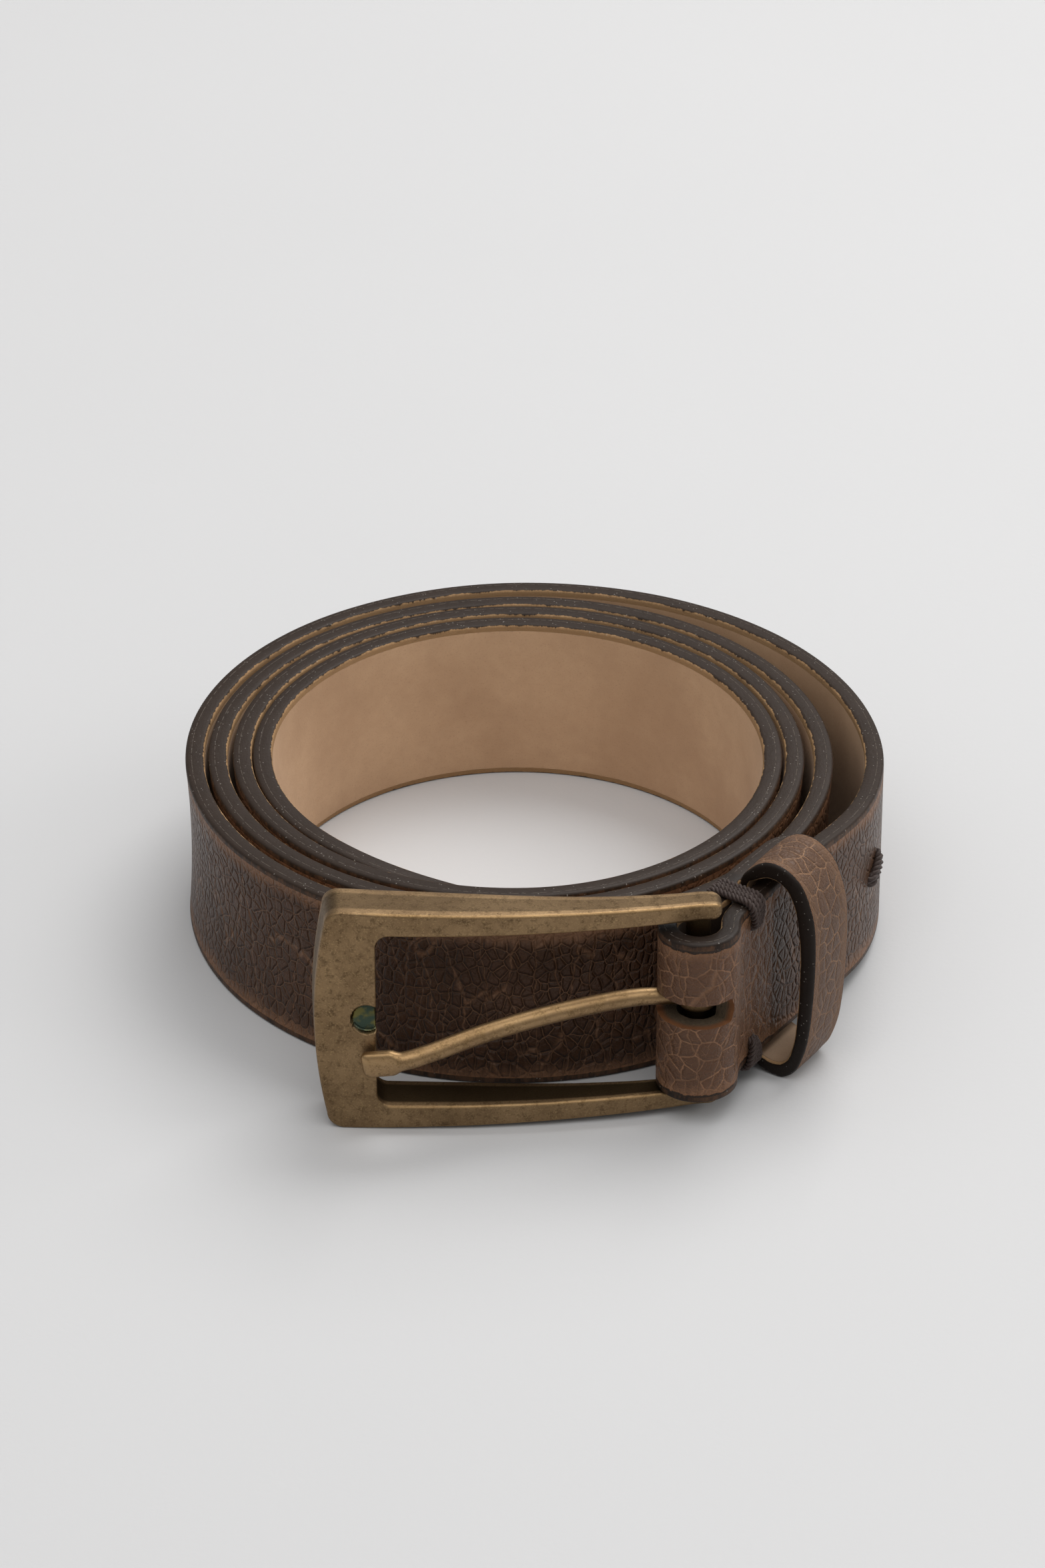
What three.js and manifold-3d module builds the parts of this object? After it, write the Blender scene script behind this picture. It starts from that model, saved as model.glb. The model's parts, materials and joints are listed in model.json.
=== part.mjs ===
// A leather dress belt, rolled up and standing on its lower edge, with a cast frame buckle.
// Millimetres, +Z up. The coil's centre is the modelling origin until the last lines, which
// move the whole belt so that the middle of its footprint is at the origin.
import * as THREE from "three";
import { mergeVertices } from "three/addons/utils/BufferGeometryUtils.js";
import Module from "manifold-3d";

const wasm = await Module();
wasm.setup();

// ---- Strap: two leathers bonded back to back ----
const STRAP_WIDTH = 30;
const FACE_THICKNESS = 1.9;
const LINING_THICKNESS = 1.2;
const BOND_GAP = 0.1; // room for the glue line
const TIP_LENGTH = 55; // the strap narrows over this length at its free end
const TIP_BLUNTNESS = 1.4; // half width left at the very end of the tip or the tongue
const HOLE_DIAMETER = 4;
const HOLE_FROM_TIP = 24; // first prong hole
const HOLE_PITCH = 14;
const HOLE_COUNT = 3;

// ---- Coil: quarter stations are its right, back, left and front ----
const EYE_DIAMETER = 83.6; // across the innermost turn's inner face, on average
const EYE_SHAPE = [0.995, 1.048, 0.99, 0.964]; // the eye's radius at each station over the average
const TURN_GAPS = [
  [0.5, 0.9, 0.2, 0.3], // air from the innermost turn to the next one out
  [1.6, 0.2, 0.9, 0.9],
  [5.3, 2.0, 0.7, 2.4], // air under the outermost turn
];
const TIP_GAP = 0.3; // air between the tip and the turn it lies in
const COIL_START = -10; // degrees, where the buckle run leaves the coil
const COIL_END = 1373; // degrees, where the tip ends
const COIL_STEP = 6; // degrees between facets, the same on every turn

// ---- Buckle run: pinch, keeper, straight, and the fold around the bar ----
const RUN_ANGLE = 58.2; // degrees, direction of the straight run away from the buckle
const BAR_ANGLE = -65.1; // degrees, place of the buckle bar around the coil
const FOLD_SPACE = 5.85; // from the outermost turn to the fold
const BAR_RADIUS = 2.0;
const FOLD_AIR = 0.35; // prong loop to lining
const FOLD_SAG = 0.3; // the fold hangs this far off the bar's axis
const FOLD_ARC_START = 115; // degrees around the fold, where the underlap joins it
const WAIST_ANGLE = 54.7; // degrees, from the fold's centre to the pinch
const WAIST_REACH = 3.4; // from the fold's outer face to the pinch
const PINCH_GAP = 1.0; // between strap and underlap under the thread wraps
const TONGUE_GAP = 0.3; // between strap and underlap at the rear stitch
const RUN_LENGTH = 26; // straight length from the pinch
const RISE_LENGTH = 75; // the strap comes down to the floor over this length
const SHOULDER = 22; // the underlap starts to narrow this far from the pinch
const SHOULDER_LENGTH = 13;
const TONGUE_WIDTH = 12;
const UNDERLAP_LENGTH = 50; // pinch to the tongue's end
const SLOT_ROOM = 1.5; // the slot is this much higher than the prong
const SLOT_START = 100; // degrees around the fold
const SLOT_END = 323;

// ---- Buckle frame, measured from the bar's axis towards the end bar ----
const FRAME_ANGLE = 184; // degrees, direction from the bar to the end bar
const FRAME_LENGTH = 61.7;
const RAIL_HEIGHT = 4.35; // at the end bar
const FRAME_TAPER = 1.5; // the frame is this much lower at each rail's bar end
const WINDOW_ROOM = 2; // the window is this much higher than the strap
const END_BAR_WIDTH = 9.9;
const END_BULGE = 1.8;
const RAIL_OVERHANG = 3.7; // rails run past the bar's axis
const FRAME_BOW = 2.5;
const BAR_COVER = 0.325; // the rails are thicker than the bar by this on each side
const DEPTH_AT_END = 8.0;
const CORNER_RADIUS = 2.6;
const WINDOW_CORNER = 2.2;
const FRAME_CHAMFER = 0.6;
const NOTCH_RADIUS = 2.5;
const NOTCH_DEPTH = 3;
const STRAP_DROP = 0.75; // the strap sits this much below the window's middle

// ---- Prong ----
const PRONG_RADIUS = 1.55;
const PRONG_LOOP_GAP = 0.4;
const PRONG_LOOP_WALL = 0.7;
const PRONG_LOOP_HEIGHT = 2.8;
const PRONG_LIFT = 0.6; // the loop sits this much above the window's middle
const PRONG_STRAIGHT = 10; // from here on the prong slants down
const PRONG_DROOP = 9.9; // degrees
const PRONG_LAP = 2.4; // its end lies this far onto the end bar
const PRONG_RISE = 6.0; // height of the prong's hump over the plane of the bar
const PRONG_REST = 4.9; // height of its end, where it rests on the end bar

// ---- Keeper loop ----
const KEEPER_WIDTH = 11.5;
const KEEPER_THICKNESS = 2.6;
const KEEPER_BACK = 1.5; // its ends are pared thin where they pass behind the strap
const KEEPER_AIR = 0.4; // on each side of its back, between strap and underlap
const KEEPER_FROM_PINCH = 4.0;
const KEEPER_SLACK = 3.1; // free room in the loop once the tip is in it
const KEEPER_ROOM = 4.7; // how much higher than the strap it is inside
const KEEPER_CORNER = 4.8;

// ---- Waxed thread ----
const THREAD_RADIUS = 0.45;
const WRAP_PITCH = 0.95;
const WRAP_STRANDS = 4;
const WRAP_DEPTH = 4.2; // stitch holes to the strap's edge
const THREAD_CLEARANCE = 0.3;
const STITCH_FROM_PINCH = 44;
const STITCH_LENGTH = 5.4;
const STITCH_TILT = 48; // degrees from the strap's length
const STITCH_STRANDS = 2;

// ---- Worked out from the above ----
const STRAP_THICKNESS = FACE_THICKNESS + BOND_GAP + LINING_THICKNESS;
const LINING_SIDE = LINING_THICKNESS + BOND_GAP / 2; // bond line to the lining's outside
const FACE_SIDE = FACE_THICKNESS + BOND_GAP / 2; // bond line to the grain side
const WINDOW_HEIGHT = STRAP_WIDTH + WINDOW_ROOM;
const FRAME_HEIGHT = WINDOW_HEIGHT + 2 * RAIL_HEIGHT;
const FRAME_MIDDLE = FRAME_HEIGHT / 2;
const DEPTH_AT_BAR = 2 * (BAR_RADIUS + BAR_COVER);
const FOLD_LIFT = FRAME_MIDDLE - STRAP_DROP - STRAP_WIDTH / 2;
const PRONG_LOOP_RADIUS = BAR_RADIUS + PRONG_LOOP_GAP + PRONG_LOOP_WALL; // to its outside
const FOLD_RADIUS = PRONG_LOOP_RADIUS + FOLD_AIR + LINING_SIDE; // bar's axis to the bond line
const BAR_STANDOFF = FOLD_SPACE + FOLD_RADIUS + FACE_SIDE - FOLD_SAG; // outermost turn to bar's axis
const SLOT_HEIGHT = 2 * PRONG_RADIUS + SLOT_ROOM;
const PRONG_REACH = FRAME_LENGTH - END_BAR_WIDTH + PRONG_LAP;
const KEEPER_GAP = KEEPER_BACK + 2 * KEEPER_AIR; // between strap and underlap behind the keeper
const KEEPER_STANDOFF = STRAP_THICKNESS + KEEPER_SLACK; // strap face to the loop's inside

const lerp = THREE.MathUtils.lerp;
const rad = THREE.MathUtils.degToRad;
const smooth = (x, from, to) => THREE.MathUtils.smoothstep(x, from, to);
const heading = (degrees) => new THREE.Vector2(Math.cos(rad(degrees)), Math.sin(rad(degrees)));
const along = (p, direction, distance) => p.clone().addScaledVector(direction, distance);
// The grain side is on the right hand of someone who walks from the buckle to the tip.
const rightOf = (t) => new THREE.Vector2(t.y, -t.x);

// ---- Solids ----
function geometryOf(points, triangles) {
  const g = new THREE.BufferGeometry();
  g.setAttribute("position", new THREE.Float32BufferAttribute(points.flat(), 3));
  g.setIndex(triangles.flat());
  return g;
}

function manifoldOf(geometry) {
  const g = geometry.clone();
  g.deleteAttribute("normal");
  g.deleteAttribute("uv");
  const merged = mergeVertices(g, 1e-4);
  return new wasm.Manifold(
    new wasm.Mesh({
      numProp: 3,
      vertProperties: merged.attributes.position.array,
      triVerts: new Uint32Array(merged.index.array),
    }),
  );
}

function geometryFrom(solid) {
  const mesh = solid.getMesh();
  const g = new THREE.BufferGeometry();
  g.setAttribute("position", new THREE.BufferAttribute(new Float32Array(mesh.vertProperties), 3));
  g.setIndex(new THREE.BufferAttribute(new Uint32Array(mesh.triVerts), 1));
  return g;
}

const cutBy = (geometry, cutters) =>
  geometryFrom(cutters.reduce((solid, c) => solid.subtract(manifoldOf(c)), manifoldOf(geometry)));

// Skins a row of equal rings. Each ring runs clockwise as seen from the one before it.
function skin(rings, closed) {
  const n = rings[0].length;
  const last = closed ? rings.length : rings.length - 1;
  const triangles = [];
  for (let i = 0; i < last; i++) {
    const a = i * n;
    const b = ((i + 1) % rings.length) * n;
    for (let j = 0; j < n; j++) {
      const k = (j + 1) % n;
      triangles.push([a + j, a + k, b + k], [a + j, b + k, b + j]);
    }
  }
  if (!closed) {
    const end = (rings.length - 1) * n;
    for (let j = 1; j < n - 1; j++) {
      triangles.push([0, j + 1, j], [end, end + j, end + j + 1]);
    }
  }
  return geometryOf(rings.flat(), triangles);
}

// ---- The strap's path, seen from above ----
function stationRadius(quarter) {
  const side = ((quarter % 4) + 4) % 4;
  const turnsOut = TURN_GAPS.length - Math.floor(quarter / 4);
  let radius = (EYE_DIAMETER / 2) * EYE_SHAPE[side];
  if (turnsOut < 0) return radius - STRAP_THICKNESS - TIP_GAP;
  for (let g = 0; g < turnsOut; g++) {
    radius += STRAP_THICKNESS + (TURN_GAPS[g] ?? TURN_GAPS.at(-1))[side];
  }
  return radius;
}

function coilPoint(degrees) {
  const q = Math.floor(degrees / 90);
  const u = degrees / 90 - q;
  const [r0, r1, r2, r3] = [-1, 0, 1, 2].map((k) => stationRadius(q + k));
  const inner =
    r1 +
    (u * (r2 - r0)) / 2 +
    u * u * (r0 - 2.5 * r1 + 2 * r2 - r3 / 2) +
    (u * u * u * (3 * (r1 - r2) + r3 - r0)) / 2;
  return heading(degrees).multiplyScalar(inner + LINING_SIDE);
}

const runWay = heading(RUN_ANGLE);
const runRight = rightOf(runWay);
const barAxis = heading(BAR_ANGLE).multiplyScalar(
  stationRadius(3) + STRAP_THICKNESS + BAR_STANDOFF,
);
const foldCentre = along(barAxis, heading(BAR_ANGLE), FOLD_SAG);
const pinch = along(foldCentre, heading(WAIST_ANGLE), FOLD_RADIUS + FACE_SIDE + WAIST_REACH);
const pinchSpread = LINING_SIDE + PINCH_GAP / 2;
const runStart = along(pinch, runRight, pinchSpread);
const runEnd = along(runStart, runWay, RUN_LENGTH);

function bezier(from, fromWay, to, toWay, steps) {
  const pull = from.distanceTo(to) * 0.38;
  const handles = [from, along(from, fromWay, pull), along(to, toWay, -pull), to];
  return new THREE.CubicBezierCurve(...handles).getPoints(steps);
}

function mainPath() {
  const coilStart = coilPoint(COIL_START);
  const coilWay = coilPoint(COIL_START + 1).sub(coilStart).normalize();
  const points = new THREE.LineCurve(runStart, runEnd).getPoints(8).slice(0, -1);
  points.push(...bezier(runEnd, runWay, coilStart, coilWay, 10).slice(0, -1));
  points.push(coilStart);
  const firstStep = Math.ceil(COIL_START / COIL_STEP + 0.5) * COIL_STEP;
  for (let d = firstStep; d < COIL_END - 1; d += COIL_STEP) {
    points.push(coilPoint(d));
  }
  points.push(coilPoint(COIL_END));
  return points;
}

// Stations along a row of points: place, grain-side normal and distance from the first point.
function stations(points) {
  let s = 0;
  return points.map((p, i) => {
    const before = points[Math.max(i - 1, 0)];
    const after = points[Math.min(i + 1, points.length - 1)];
    if (i > 0) s += p.distanceTo(before);
    return { p, side: rightOf(after.clone().sub(before).normalize()), s };
  });
}

const mainRow = stations(mainPath());
const mainLength = mainRow.at(-1).s;

function mainAt(s) {
  const i = Math.max(1, mainRow.findIndex((row) => row.s >= s));
  const [a, b] = [mainRow[i - 1], mainRow[i]];
  const u = (s - a.s) / (b.s - a.s);
  return { p: a.p.clone().lerp(b.p, u), side: a.side.clone().lerp(b.side, u).normalize(), s };
}

const underlapGap = (s) =>
  PINCH_GAP +
  (KEEPER_GAP - PINCH_GAP) * smooth(s, -0.5, KEEPER_FROM_PINCH - 0.5) -
  (KEEPER_GAP - TONGUE_GAP) * smooth(s, KEEPER_FROM_PINCH + KEEPER_WIDTH + 3, RUN_LENGTH);

// The underlap follows the strap on its lining side, so it is walked from its tongue back.
function underlapRow() {
  const row = [];
  for (let s = UNDERLAP_LENGTH; s > 0; s -= s > SHOULDER ? 2 : 1) {
    const at = mainAt(s);
    const p = along(at.p, at.side, -(2 * LINING_SIDE + underlapGap(s)));
    row.push({ p, side: at.side.clone().negate(), s });
  }
  return row;
}

function foldRow() {
  const arc = [];
  for (let d = FOLD_ARC_START; d <= 360; d += (360 - FOLD_ARC_START) / 21) {
    arc.push(along(foldCentre, heading(d), FOLD_RADIUS));
  }
  const back = runWay.clone().negate();
  const intoFold = heading(FOLD_ARC_START + 90);
  const under = along(pinch, runRight, -pinchSpread);
  const points = bezier(under, back, arc[0], intoFold, 8);
  points.push(...arc.slice(1, -1));
  points.push(...bezier(arc.at(-1), heading(90), runStart, runWay, 6).slice(0, -1));
  return stations(points).map((row) => ({ ...row, s: 0 }));
}

const liftAt = (s) => FOLD_LIFT * (1 - smooth(s, 2, RISE_LENGTH));

function tipHalfWidth(s) {
  const u = Math.max(0, (s - (mainLength - TIP_LENGTH)) / TIP_LENGTH);
  return Math.max(TIP_BLUNTNESS, (STRAP_WIDTH / 2) * Math.sqrt(Math.max(0, 1 - u * u)));
}

function tongueHalfWidth(s) {
  const narrowed = lerp(STRAP_WIDTH, TONGUE_WIDTH, smooth(s, SHOULDER, SHOULDER + SHOULDER_LENGTH)) / 2;
  const toEnd = UNDERLAP_LENGTH - s;
  const round = TONGUE_WIDTH / 2;
  if (toEnd >= round) return narrowed;
  return Math.max(TIP_BLUNTNESS, Math.sqrt(round * round - (round - toEnd) ** 2));
}

const strapRow = [
  ...underlapRow().map((row) => ({ ...row, half: tongueHalfWidth(row.s) })),
  ...foldRow().map((row) => ({ ...row, half: STRAP_WIDTH / 2 })),
  ...mainRow.map((row) => ({ ...row, half: tipHalfWidth(row.s) })),
];

// A ribbon of the strap between two distances from the bond line, positive to the grain side.
function ribbon(from, to) {
  return skin(
    strapRow.map(({ p, side, s, half }) => {
      const middle = liftAt(s) + STRAP_WIDTH / 2;
      const [a, b] = [along(p, side, from), along(p, side, to)];
      return [
        [a.x, a.y, middle - half],
        [a.x, a.y, middle + half],
        [b.x, b.y, middle + half],
        [b.x, b.y, middle - half],
      ];
    }),
    false,
  );
}

// A round cutter through the strap, across its thickness.
function boreAt({ p, side }, height, diameter, reach) {
  const g = new THREE.CylinderGeometry(diameter / 2, diameter / 2, 2 * reach, 12);
  g.rotateZ(Math.atan2(side.y, side.x) - Math.PI / 2);
  g.translate(p.x, p.y, height);
  return g;
}

function prongHoles() {
  const cutters = [];
  for (let i = 0; i < HOLE_COUNT; i++) {
    const at = mainAt(mainLength - HOLE_FROM_TIP - i * HOLE_PITCH);
    cutters.push(boreAt(at, STRAP_WIDTH / 2, HOLE_DIAMETER, STRAP_THICKNESS / 2 + 0.15));
  }
  return cutters;
}

// The slot that the prong comes out of, cut through the fold.
function prongSlot() {
  const reach = FOLD_RADIUS + FACE_SIDE + 1.5;
  const sector = new THREE.Shape();
  sector.moveTo(0, 0);
  sector.absarc(0, 0, reach, rad(SLOT_START), rad(SLOT_END), false);
  const g = new THREE.ExtrudeGeometry(sector, {
    depth: SLOT_HEIGHT,
    bevelEnabled: false,
    curveSegments: 16,
  });
  return g.translate(foldCentre.x, foldCentre.y, FRAME_MIDDLE - SLOT_HEIGHT / 2);
}

// ---- Thread ----
// A closed ring of thread through four corners, in the plane of the vectors u and w.
function threadRing(centre, u, w, halfU, halfW, corner) {
  const at = (a, b) => centre.clone().addScaledVector(u, a).addScaledVector(w, b);
  const turns = [
    [1, 1],
    [-1, 1],
    [-1, -1],
    [1, -1],
  ];
  const points = turns.flatMap(([a, b], i) => {
    const middle = at(a * (halfU - corner), b * (halfW - corner));
    return [0, 30, 60, 90].map((d) => {
      const t = rad(90 * i + d);
      return middle
        .clone()
        .addScaledVector(u, corner * Math.cos(t))
        .addScaledVector(w, corner * Math.sin(t));
    });
  });
  const normal = u.clone().cross(w);
  const n = points.length;
  const rings = points.map((p, i) => {
    const way = points[(i + 1) % n].clone().sub(points[(i + n - 1) % n]).normalize();
    const out = way.clone().cross(normal);
    const ring = [];
    for (let k = 0; k < 6; k++) {
      const t = rad(-60 * k);
      const v = p
        .clone()
        .addScaledVector(out, THREAD_RADIUS * Math.cos(t))
        .addScaledVector(normal, THREAD_RADIUS * Math.sin(t));
      ring.push(v.toArray());
    }
    return ring;
  });
  return skin(rings, true);
}

const flat = (v, z = 0) => new THREE.Vector3(v.x, v.y, z);
const UP = new THREE.Vector3(0, 0, 1);

// Wraps bind the strap to the underlap at one edge: edge is 1 at the top and -1 at the bottom.
function wrapPlace(strand, edge) {
  const a = (strand - (WRAP_STRANDS - 1) / 2) * WRAP_PITCH;
  const outer = along(along(runStart, runWay, a), runRight, FACE_SIDE);
  const depth = 2 * STRAP_THICKNESS + underlapGap(a);
  const middle = along(outer, runRight, -depth / 2);
  const edgeZ = FOLD_LIFT + STRAP_WIDTH / 2 + (edge * STRAP_WIDTH) / 2;
  return { middle, depth, edgeZ, holeZ: edgeZ - edge * WRAP_DEPTH };
}

function wrapStrand(strand, edge) {
  const { middle, depth, edgeZ, holeZ } = wrapPlace(strand, edge);
  const stand = THREAD_RADIUS + THREAD_CLEARANCE;
  const topZ = edgeZ + edge * stand;
  const halfHeight = Math.abs(topZ - holeZ) / 2;
  const centre = flat(middle, (topZ + holeZ) / 2);
  return threadRing(centre, flat(runRight), UP, depth / 2 + stand, halfHeight, 2 * THREAD_RADIUS);
}

function wrapHole(edge) {
  const { middle, depth, holeZ } = wrapPlace((WRAP_STRANDS - 1) / 2, edge);
  const length = (WRAP_STRANDS - 1) * WRAP_PITCH + 2 * (THREAD_RADIUS + THREAD_CLEARANCE);
  const g = new THREE.BoxGeometry(depth + 3, length, 2 * (THREAD_RADIUS + THREAD_CLEARANCE));
  return g.rotateZ(Math.atan2(runRight.y, runRight.x)).translate(middle.x, middle.y, holeZ);
}

// The rear stitch holds the tongue: strands side by side, slanting across the strap's middle.
function rearStitchPlace() {
  const at = mainAt(STITCH_FROM_PINCH);
  const depth = 2 * STRAP_THICKNESS + underlapGap(STITCH_FROM_PINCH);
  const middle = along(at.p, at.side, FACE_SIDE - depth / 2);
  const height = liftAt(STITCH_FROM_PINCH) + STRAP_WIDTH / 2;
  const way = flat(new THREE.Vector2(-at.side.y, at.side.x)).multiplyScalar(Math.cos(rad(STITCH_TILT)));
  way.z = Math.sin(rad(STITCH_TILT));
  return { centre: flat(middle, height), side: flat(at.side), way, depth };
}

function rearStitch(strand) {
  const { centre, side, way, depth } = rearStitchPlace();
  const across = side.clone().cross(way);
  const shift = (strand - (STITCH_STRANDS - 1) / 2) * WRAP_PITCH;
  const halfDepth = depth / 2 + THREAD_RADIUS + THREAD_CLEARANCE;
  const place = centre.clone().addScaledVector(across, shift);
  return threadRing(place, side, way, halfDepth, STITCH_LENGTH / 2, 2 * THREAD_RADIUS);
}

function rearStitchHoles() {
  const { centre, side, way, depth } = rearStitchPlace();
  const across = side.clone().cross(way);
  const room = 2 * (THREAD_RADIUS + THREAD_CLEARANCE);
  return [-1, 1].map((end) => {
    const g = new THREE.BoxGeometry(depth + 2, room, (STITCH_STRANDS - 1) * WRAP_PITCH + room);
    const middle = centre.clone().addScaledVector(way, (end * STITCH_LENGTH) / 2);
    return g.applyMatrix4(new THREE.Matrix4().makeBasis(side, way, across).setPosition(middle));
  });
}

// ---- Buckle: x from the bar's axis to the end bar, y outwards from the coil, z up ----
const frameFront = (x) => {
  const half = FRAME_LENGTH / 2;
  return DEPTH_AT_BAR / 2 + FRAME_BOW * (1 - Math.min(1, ((x - half) / half) ** 2));
};
const frameDepth = (x) => lerp(DEPTH_AT_BAR, DEPTH_AT_END, smooth(x, 0, FRAME_LENGTH * 0.8));
const railTop = (x) =>
  FRAME_MIDDLE - FRAME_TAPER * (1 - Math.min(1, (x + RAIL_OVERHANG) / (FRAME_LENGTH - CORNER_RADIUS)));

// Half of the frame's outline, from the rail's bar end to the middle of the end bar. Each entry
// is an outside point and the inside point across from it, as [x, height over the middle].
function halfOutline() {
  const inside = FRAME_LENGTH - END_BAR_WIDTH;
  const window = WINDOW_HEIGHT / 2;
  const pairs = [];
  const railSteps = 9;
  const railFrom = -RAIL_OVERHANG;
  const railTo = inside - WINDOW_CORNER;
  for (let i = 0; i <= railSteps; i++) {
    const x = lerp(railFrom, railTo, i / railSteps);
    const nose = i === 0 ? 0.9 : 0;
    pairs.push([
      [x, railTop(x) - nose],
      [x, window + nose * 0.4],
    ]);
  }
  const cornerX = FRAME_LENGTH - END_BULGE - CORNER_RADIUS;
  const cornerZ = railTop(cornerX) - CORNER_RADIUS;
  pairs.push([
    [lerp(railTo, cornerX, 0.6), railTop(cornerX)],
    [railTo + WINDOW_CORNER * 0.4, window - WINDOW_CORNER * 0.08],
  ]);
  [0, 30, 60, 90].forEach((d) => {
    const [c, s] = [Math.cos(rad(90 - d)), Math.sin(rad(90 - d))];
    pairs.push([
      [cornerX + CORNER_RADIUS * c, cornerZ + CORNER_RADIUS * s],
      [
        inside - WINDOW_CORNER + WINDOW_CORNER * Math.cos(rad(60 - (d * 2) / 3)),
        window - WINDOW_CORNER + WINDOW_CORNER * Math.sin(rad(60 - (d * 2) / 3)),
      ],
    ]);
  });
  const barSteps = 4;
  for (let i = 1; i <= barSteps; i++) {
    const u = i / barSteps;
    const z = lerp(cornerZ, 0, u);
    const bulge = FRAME_LENGTH - END_BULGE * (z / cornerZ) ** 2;
    pairs.push([
      [bulge, z],
      [inside, lerp(window - WINDOW_CORNER, 0, u)],
    ]);
  }
  return pairs;
}

function frameRing([outside, inside]) {
  const c = FRAME_CHAMFER;
  const span = Math.hypot(outside[0] - inside[0], outside[1] - inside[1]);
  const shift = (p, q, by) => [p[0] + ((q[0] - p[0]) * by) / span, p[1] + ((q[1] - p[1]) * by) / span];
  const [oc, ic] = [shift(outside, inside, c), shift(inside, outside, c)];
  const place = ([x, z], y) => [x, y, z + FRAME_MIDDLE];
  const front = (p, inset) => place(p, frameFront(p[0]) - inset);
  const back = (p, inset) => place(p, frameFront(p[0]) - frameDepth(p[0]) + inset);
  return [
    back(ic, 0),
    back(inside, c),
    front(inside, c),
    front(ic, 0),
    front(oc, 0),
    front(outside, c),
    back(outside, c),
    back(oc, 0),
  ];
}

function buckleFrame() {
  const upper = halfOutline();
  const lower = upper.slice(0, -1).reverse().map((pair) => pair.map(([x, z]) => [x, -z]));
  const loop = skin([...upper, ...lower].map(frameRing), false);
  const bar = new THREE.CylinderGeometry(BAR_RADIUS, BAR_RADIUS, WINDOW_HEIGHT + 2, 16);
  bar.rotateX(Math.PI / 2).translate(0, 0, FRAME_MIDDLE);
  const notch = new THREE.CylinderGeometry(NOTCH_RADIUS, NOTCH_RADIUS, 2 * NOTCH_DEPTH, 16);
  const notchX = FRAME_LENGTH - END_BAR_WIDTH + NOTCH_RADIUS / 2;
  notch.translate(notchX, frameFront(notchX), FRAME_MIDDLE + STRAP_DROP);
  return geometryFrom(manifoldOf(loop).add(manifoldOf(bar)).subtract(manifoldOf(notch)));
}

// The prong's centre line: straight out of its loop, up over a hump and down to the end bar.
function prongCurve() {
  const reach = PRONG_REACH;
  const droop = (x) => Math.max(0, x - PRONG_STRAIGHT) * Math.tan(rad(PRONG_DROOP));
  return new THREE.CatmullRomCurve3(
    [
      [PRONG_LOOP_RADIUS - PRONG_LOOP_WALL / 2, 0],
      [reach * 0.18, -0.1],
      [reach * 0.34, -0.1],
      [reach * 0.5, 0.8],
      [reach * 0.66, PRONG_RISE * 0.45],
      [reach * 0.78, PRONG_RISE * 0.8],
      [reach * 0.88, PRONG_RISE],
      [reach, PRONG_REST],
    ].map(([x, y]) => new THREE.Vector3(x, y, -droop(x))),
  );
}

function prong() {
  const curve = prongCurve();
  const steps = 22;
  const sides = 10;
  const rings = [];
  for (let i = 0; i <= steps; i++) {
    const u = i / steps;
    const p = curve.getPointAt(u);
    const way = curve.getTangentAt(u);
    const out = new THREE.Vector3(-way.y, way.x, 0).normalize();
    const flattened = smooth(u, 0.84, 0.92); // the end is hammered flat
    const thick = PRONG_RADIUS * lerp(1, 0.72, flattened) * lerp(0.9, 1, smooth(u, 0, 0.3));
    const wide = PRONG_RADIUS * lerp(1, 1.3, flattened) * lerp(0.9, 1, smooth(u, 0, 0.3));
    const ring = [];
    for (let k = 0; k < sides; k++) {
      const t = (2 * Math.PI * k) / sides;
      const v = p.clone().addScaledVector(out, thick * Math.cos(t));
      ring.push([v.x, v.y, v.z + wide * Math.sin(t)]);
    }
    rings.push(ring);
  }
  const shank = skin(rings, false);
  const inner = BAR_RADIUS + PRONG_LOOP_GAP;
  const outer = PRONG_LOOP_RADIUS;
  const half = PRONG_LOOP_HEIGHT / 2;
  const section = [
    [inner, -half],
    [outer, -half],
    [outer, half],
    [inner, half],
    [inner, -half],
  ].map(([r, z]) => new THREE.Vector2(r, z));
  const loop = new THREE.LatheGeometry(section, 20).rotateX(Math.PI / 2);
  const eye = new THREE.CylinderGeometry(inner, inner, 4 * half, 20).rotateX(Math.PI / 2);
  return geometryFrom(manifoldOf(shank).subtract(manifoldOf(eye)).add(manifoldOf(loop)));
}

// ---- Keeper: a closed band around the strap, in the plane across the run ----
// Its outline is [distance from the strap's face, height]. grow moves it from the inside out.
function keeperOutline(grow) {
  const backGrow = grow * (KEEPER_BACK / KEEPER_THICKNESS);
  const air = (KEEPER_GAP - KEEPER_BACK) / 2;
  const back = -STRAP_THICKNESS - air - backGrow;
  const front = KEEPER_STANDOFF + grow;
  const low = KEEPER_THICKNESS - grow;
  const high = KEEPER_THICKNESS + STRAP_WIDTH + KEEPER_ROOM + grow;
  const middle = (low + high) / 2;
  const corner = KEEPER_CORNER + grow;
  const round = 0.8;
  const shape = new THREE.Shape();
  shape.moveTo(back, low + round);
  shape.quadraticCurveTo(back, low, back + round, low);
  shape.lineTo(front - corner, low);
  shape.bezierCurveTo(front - corner / 3, low, front, low + corner * 1.4, front, middle);
  shape.bezierCurveTo(front, high - corner * 1.4, front - corner / 3, high, front - corner, high);
  shape.lineTo(back + round, high);
  shape.quadraticCurveTo(back, high, back, high - round);
  return shape;
}

function keeperLoop() {
  const shape = keeperOutline(KEEPER_THICKNESS);
  shape.holes.push(keeperOutline(0));
  return new THREE.ExtrudeGeometry(shape, {
    depth: KEEPER_WIDTH,
    bevelEnabled: false,
    curveSegments: 7,
  });
}

// ---- Assembly ----
const belt = new THREE.Group();

function material(color, roughness, metalness) {
  return new THREE.MeshStandardMaterial({ color, roughness, metalness });
}

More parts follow.
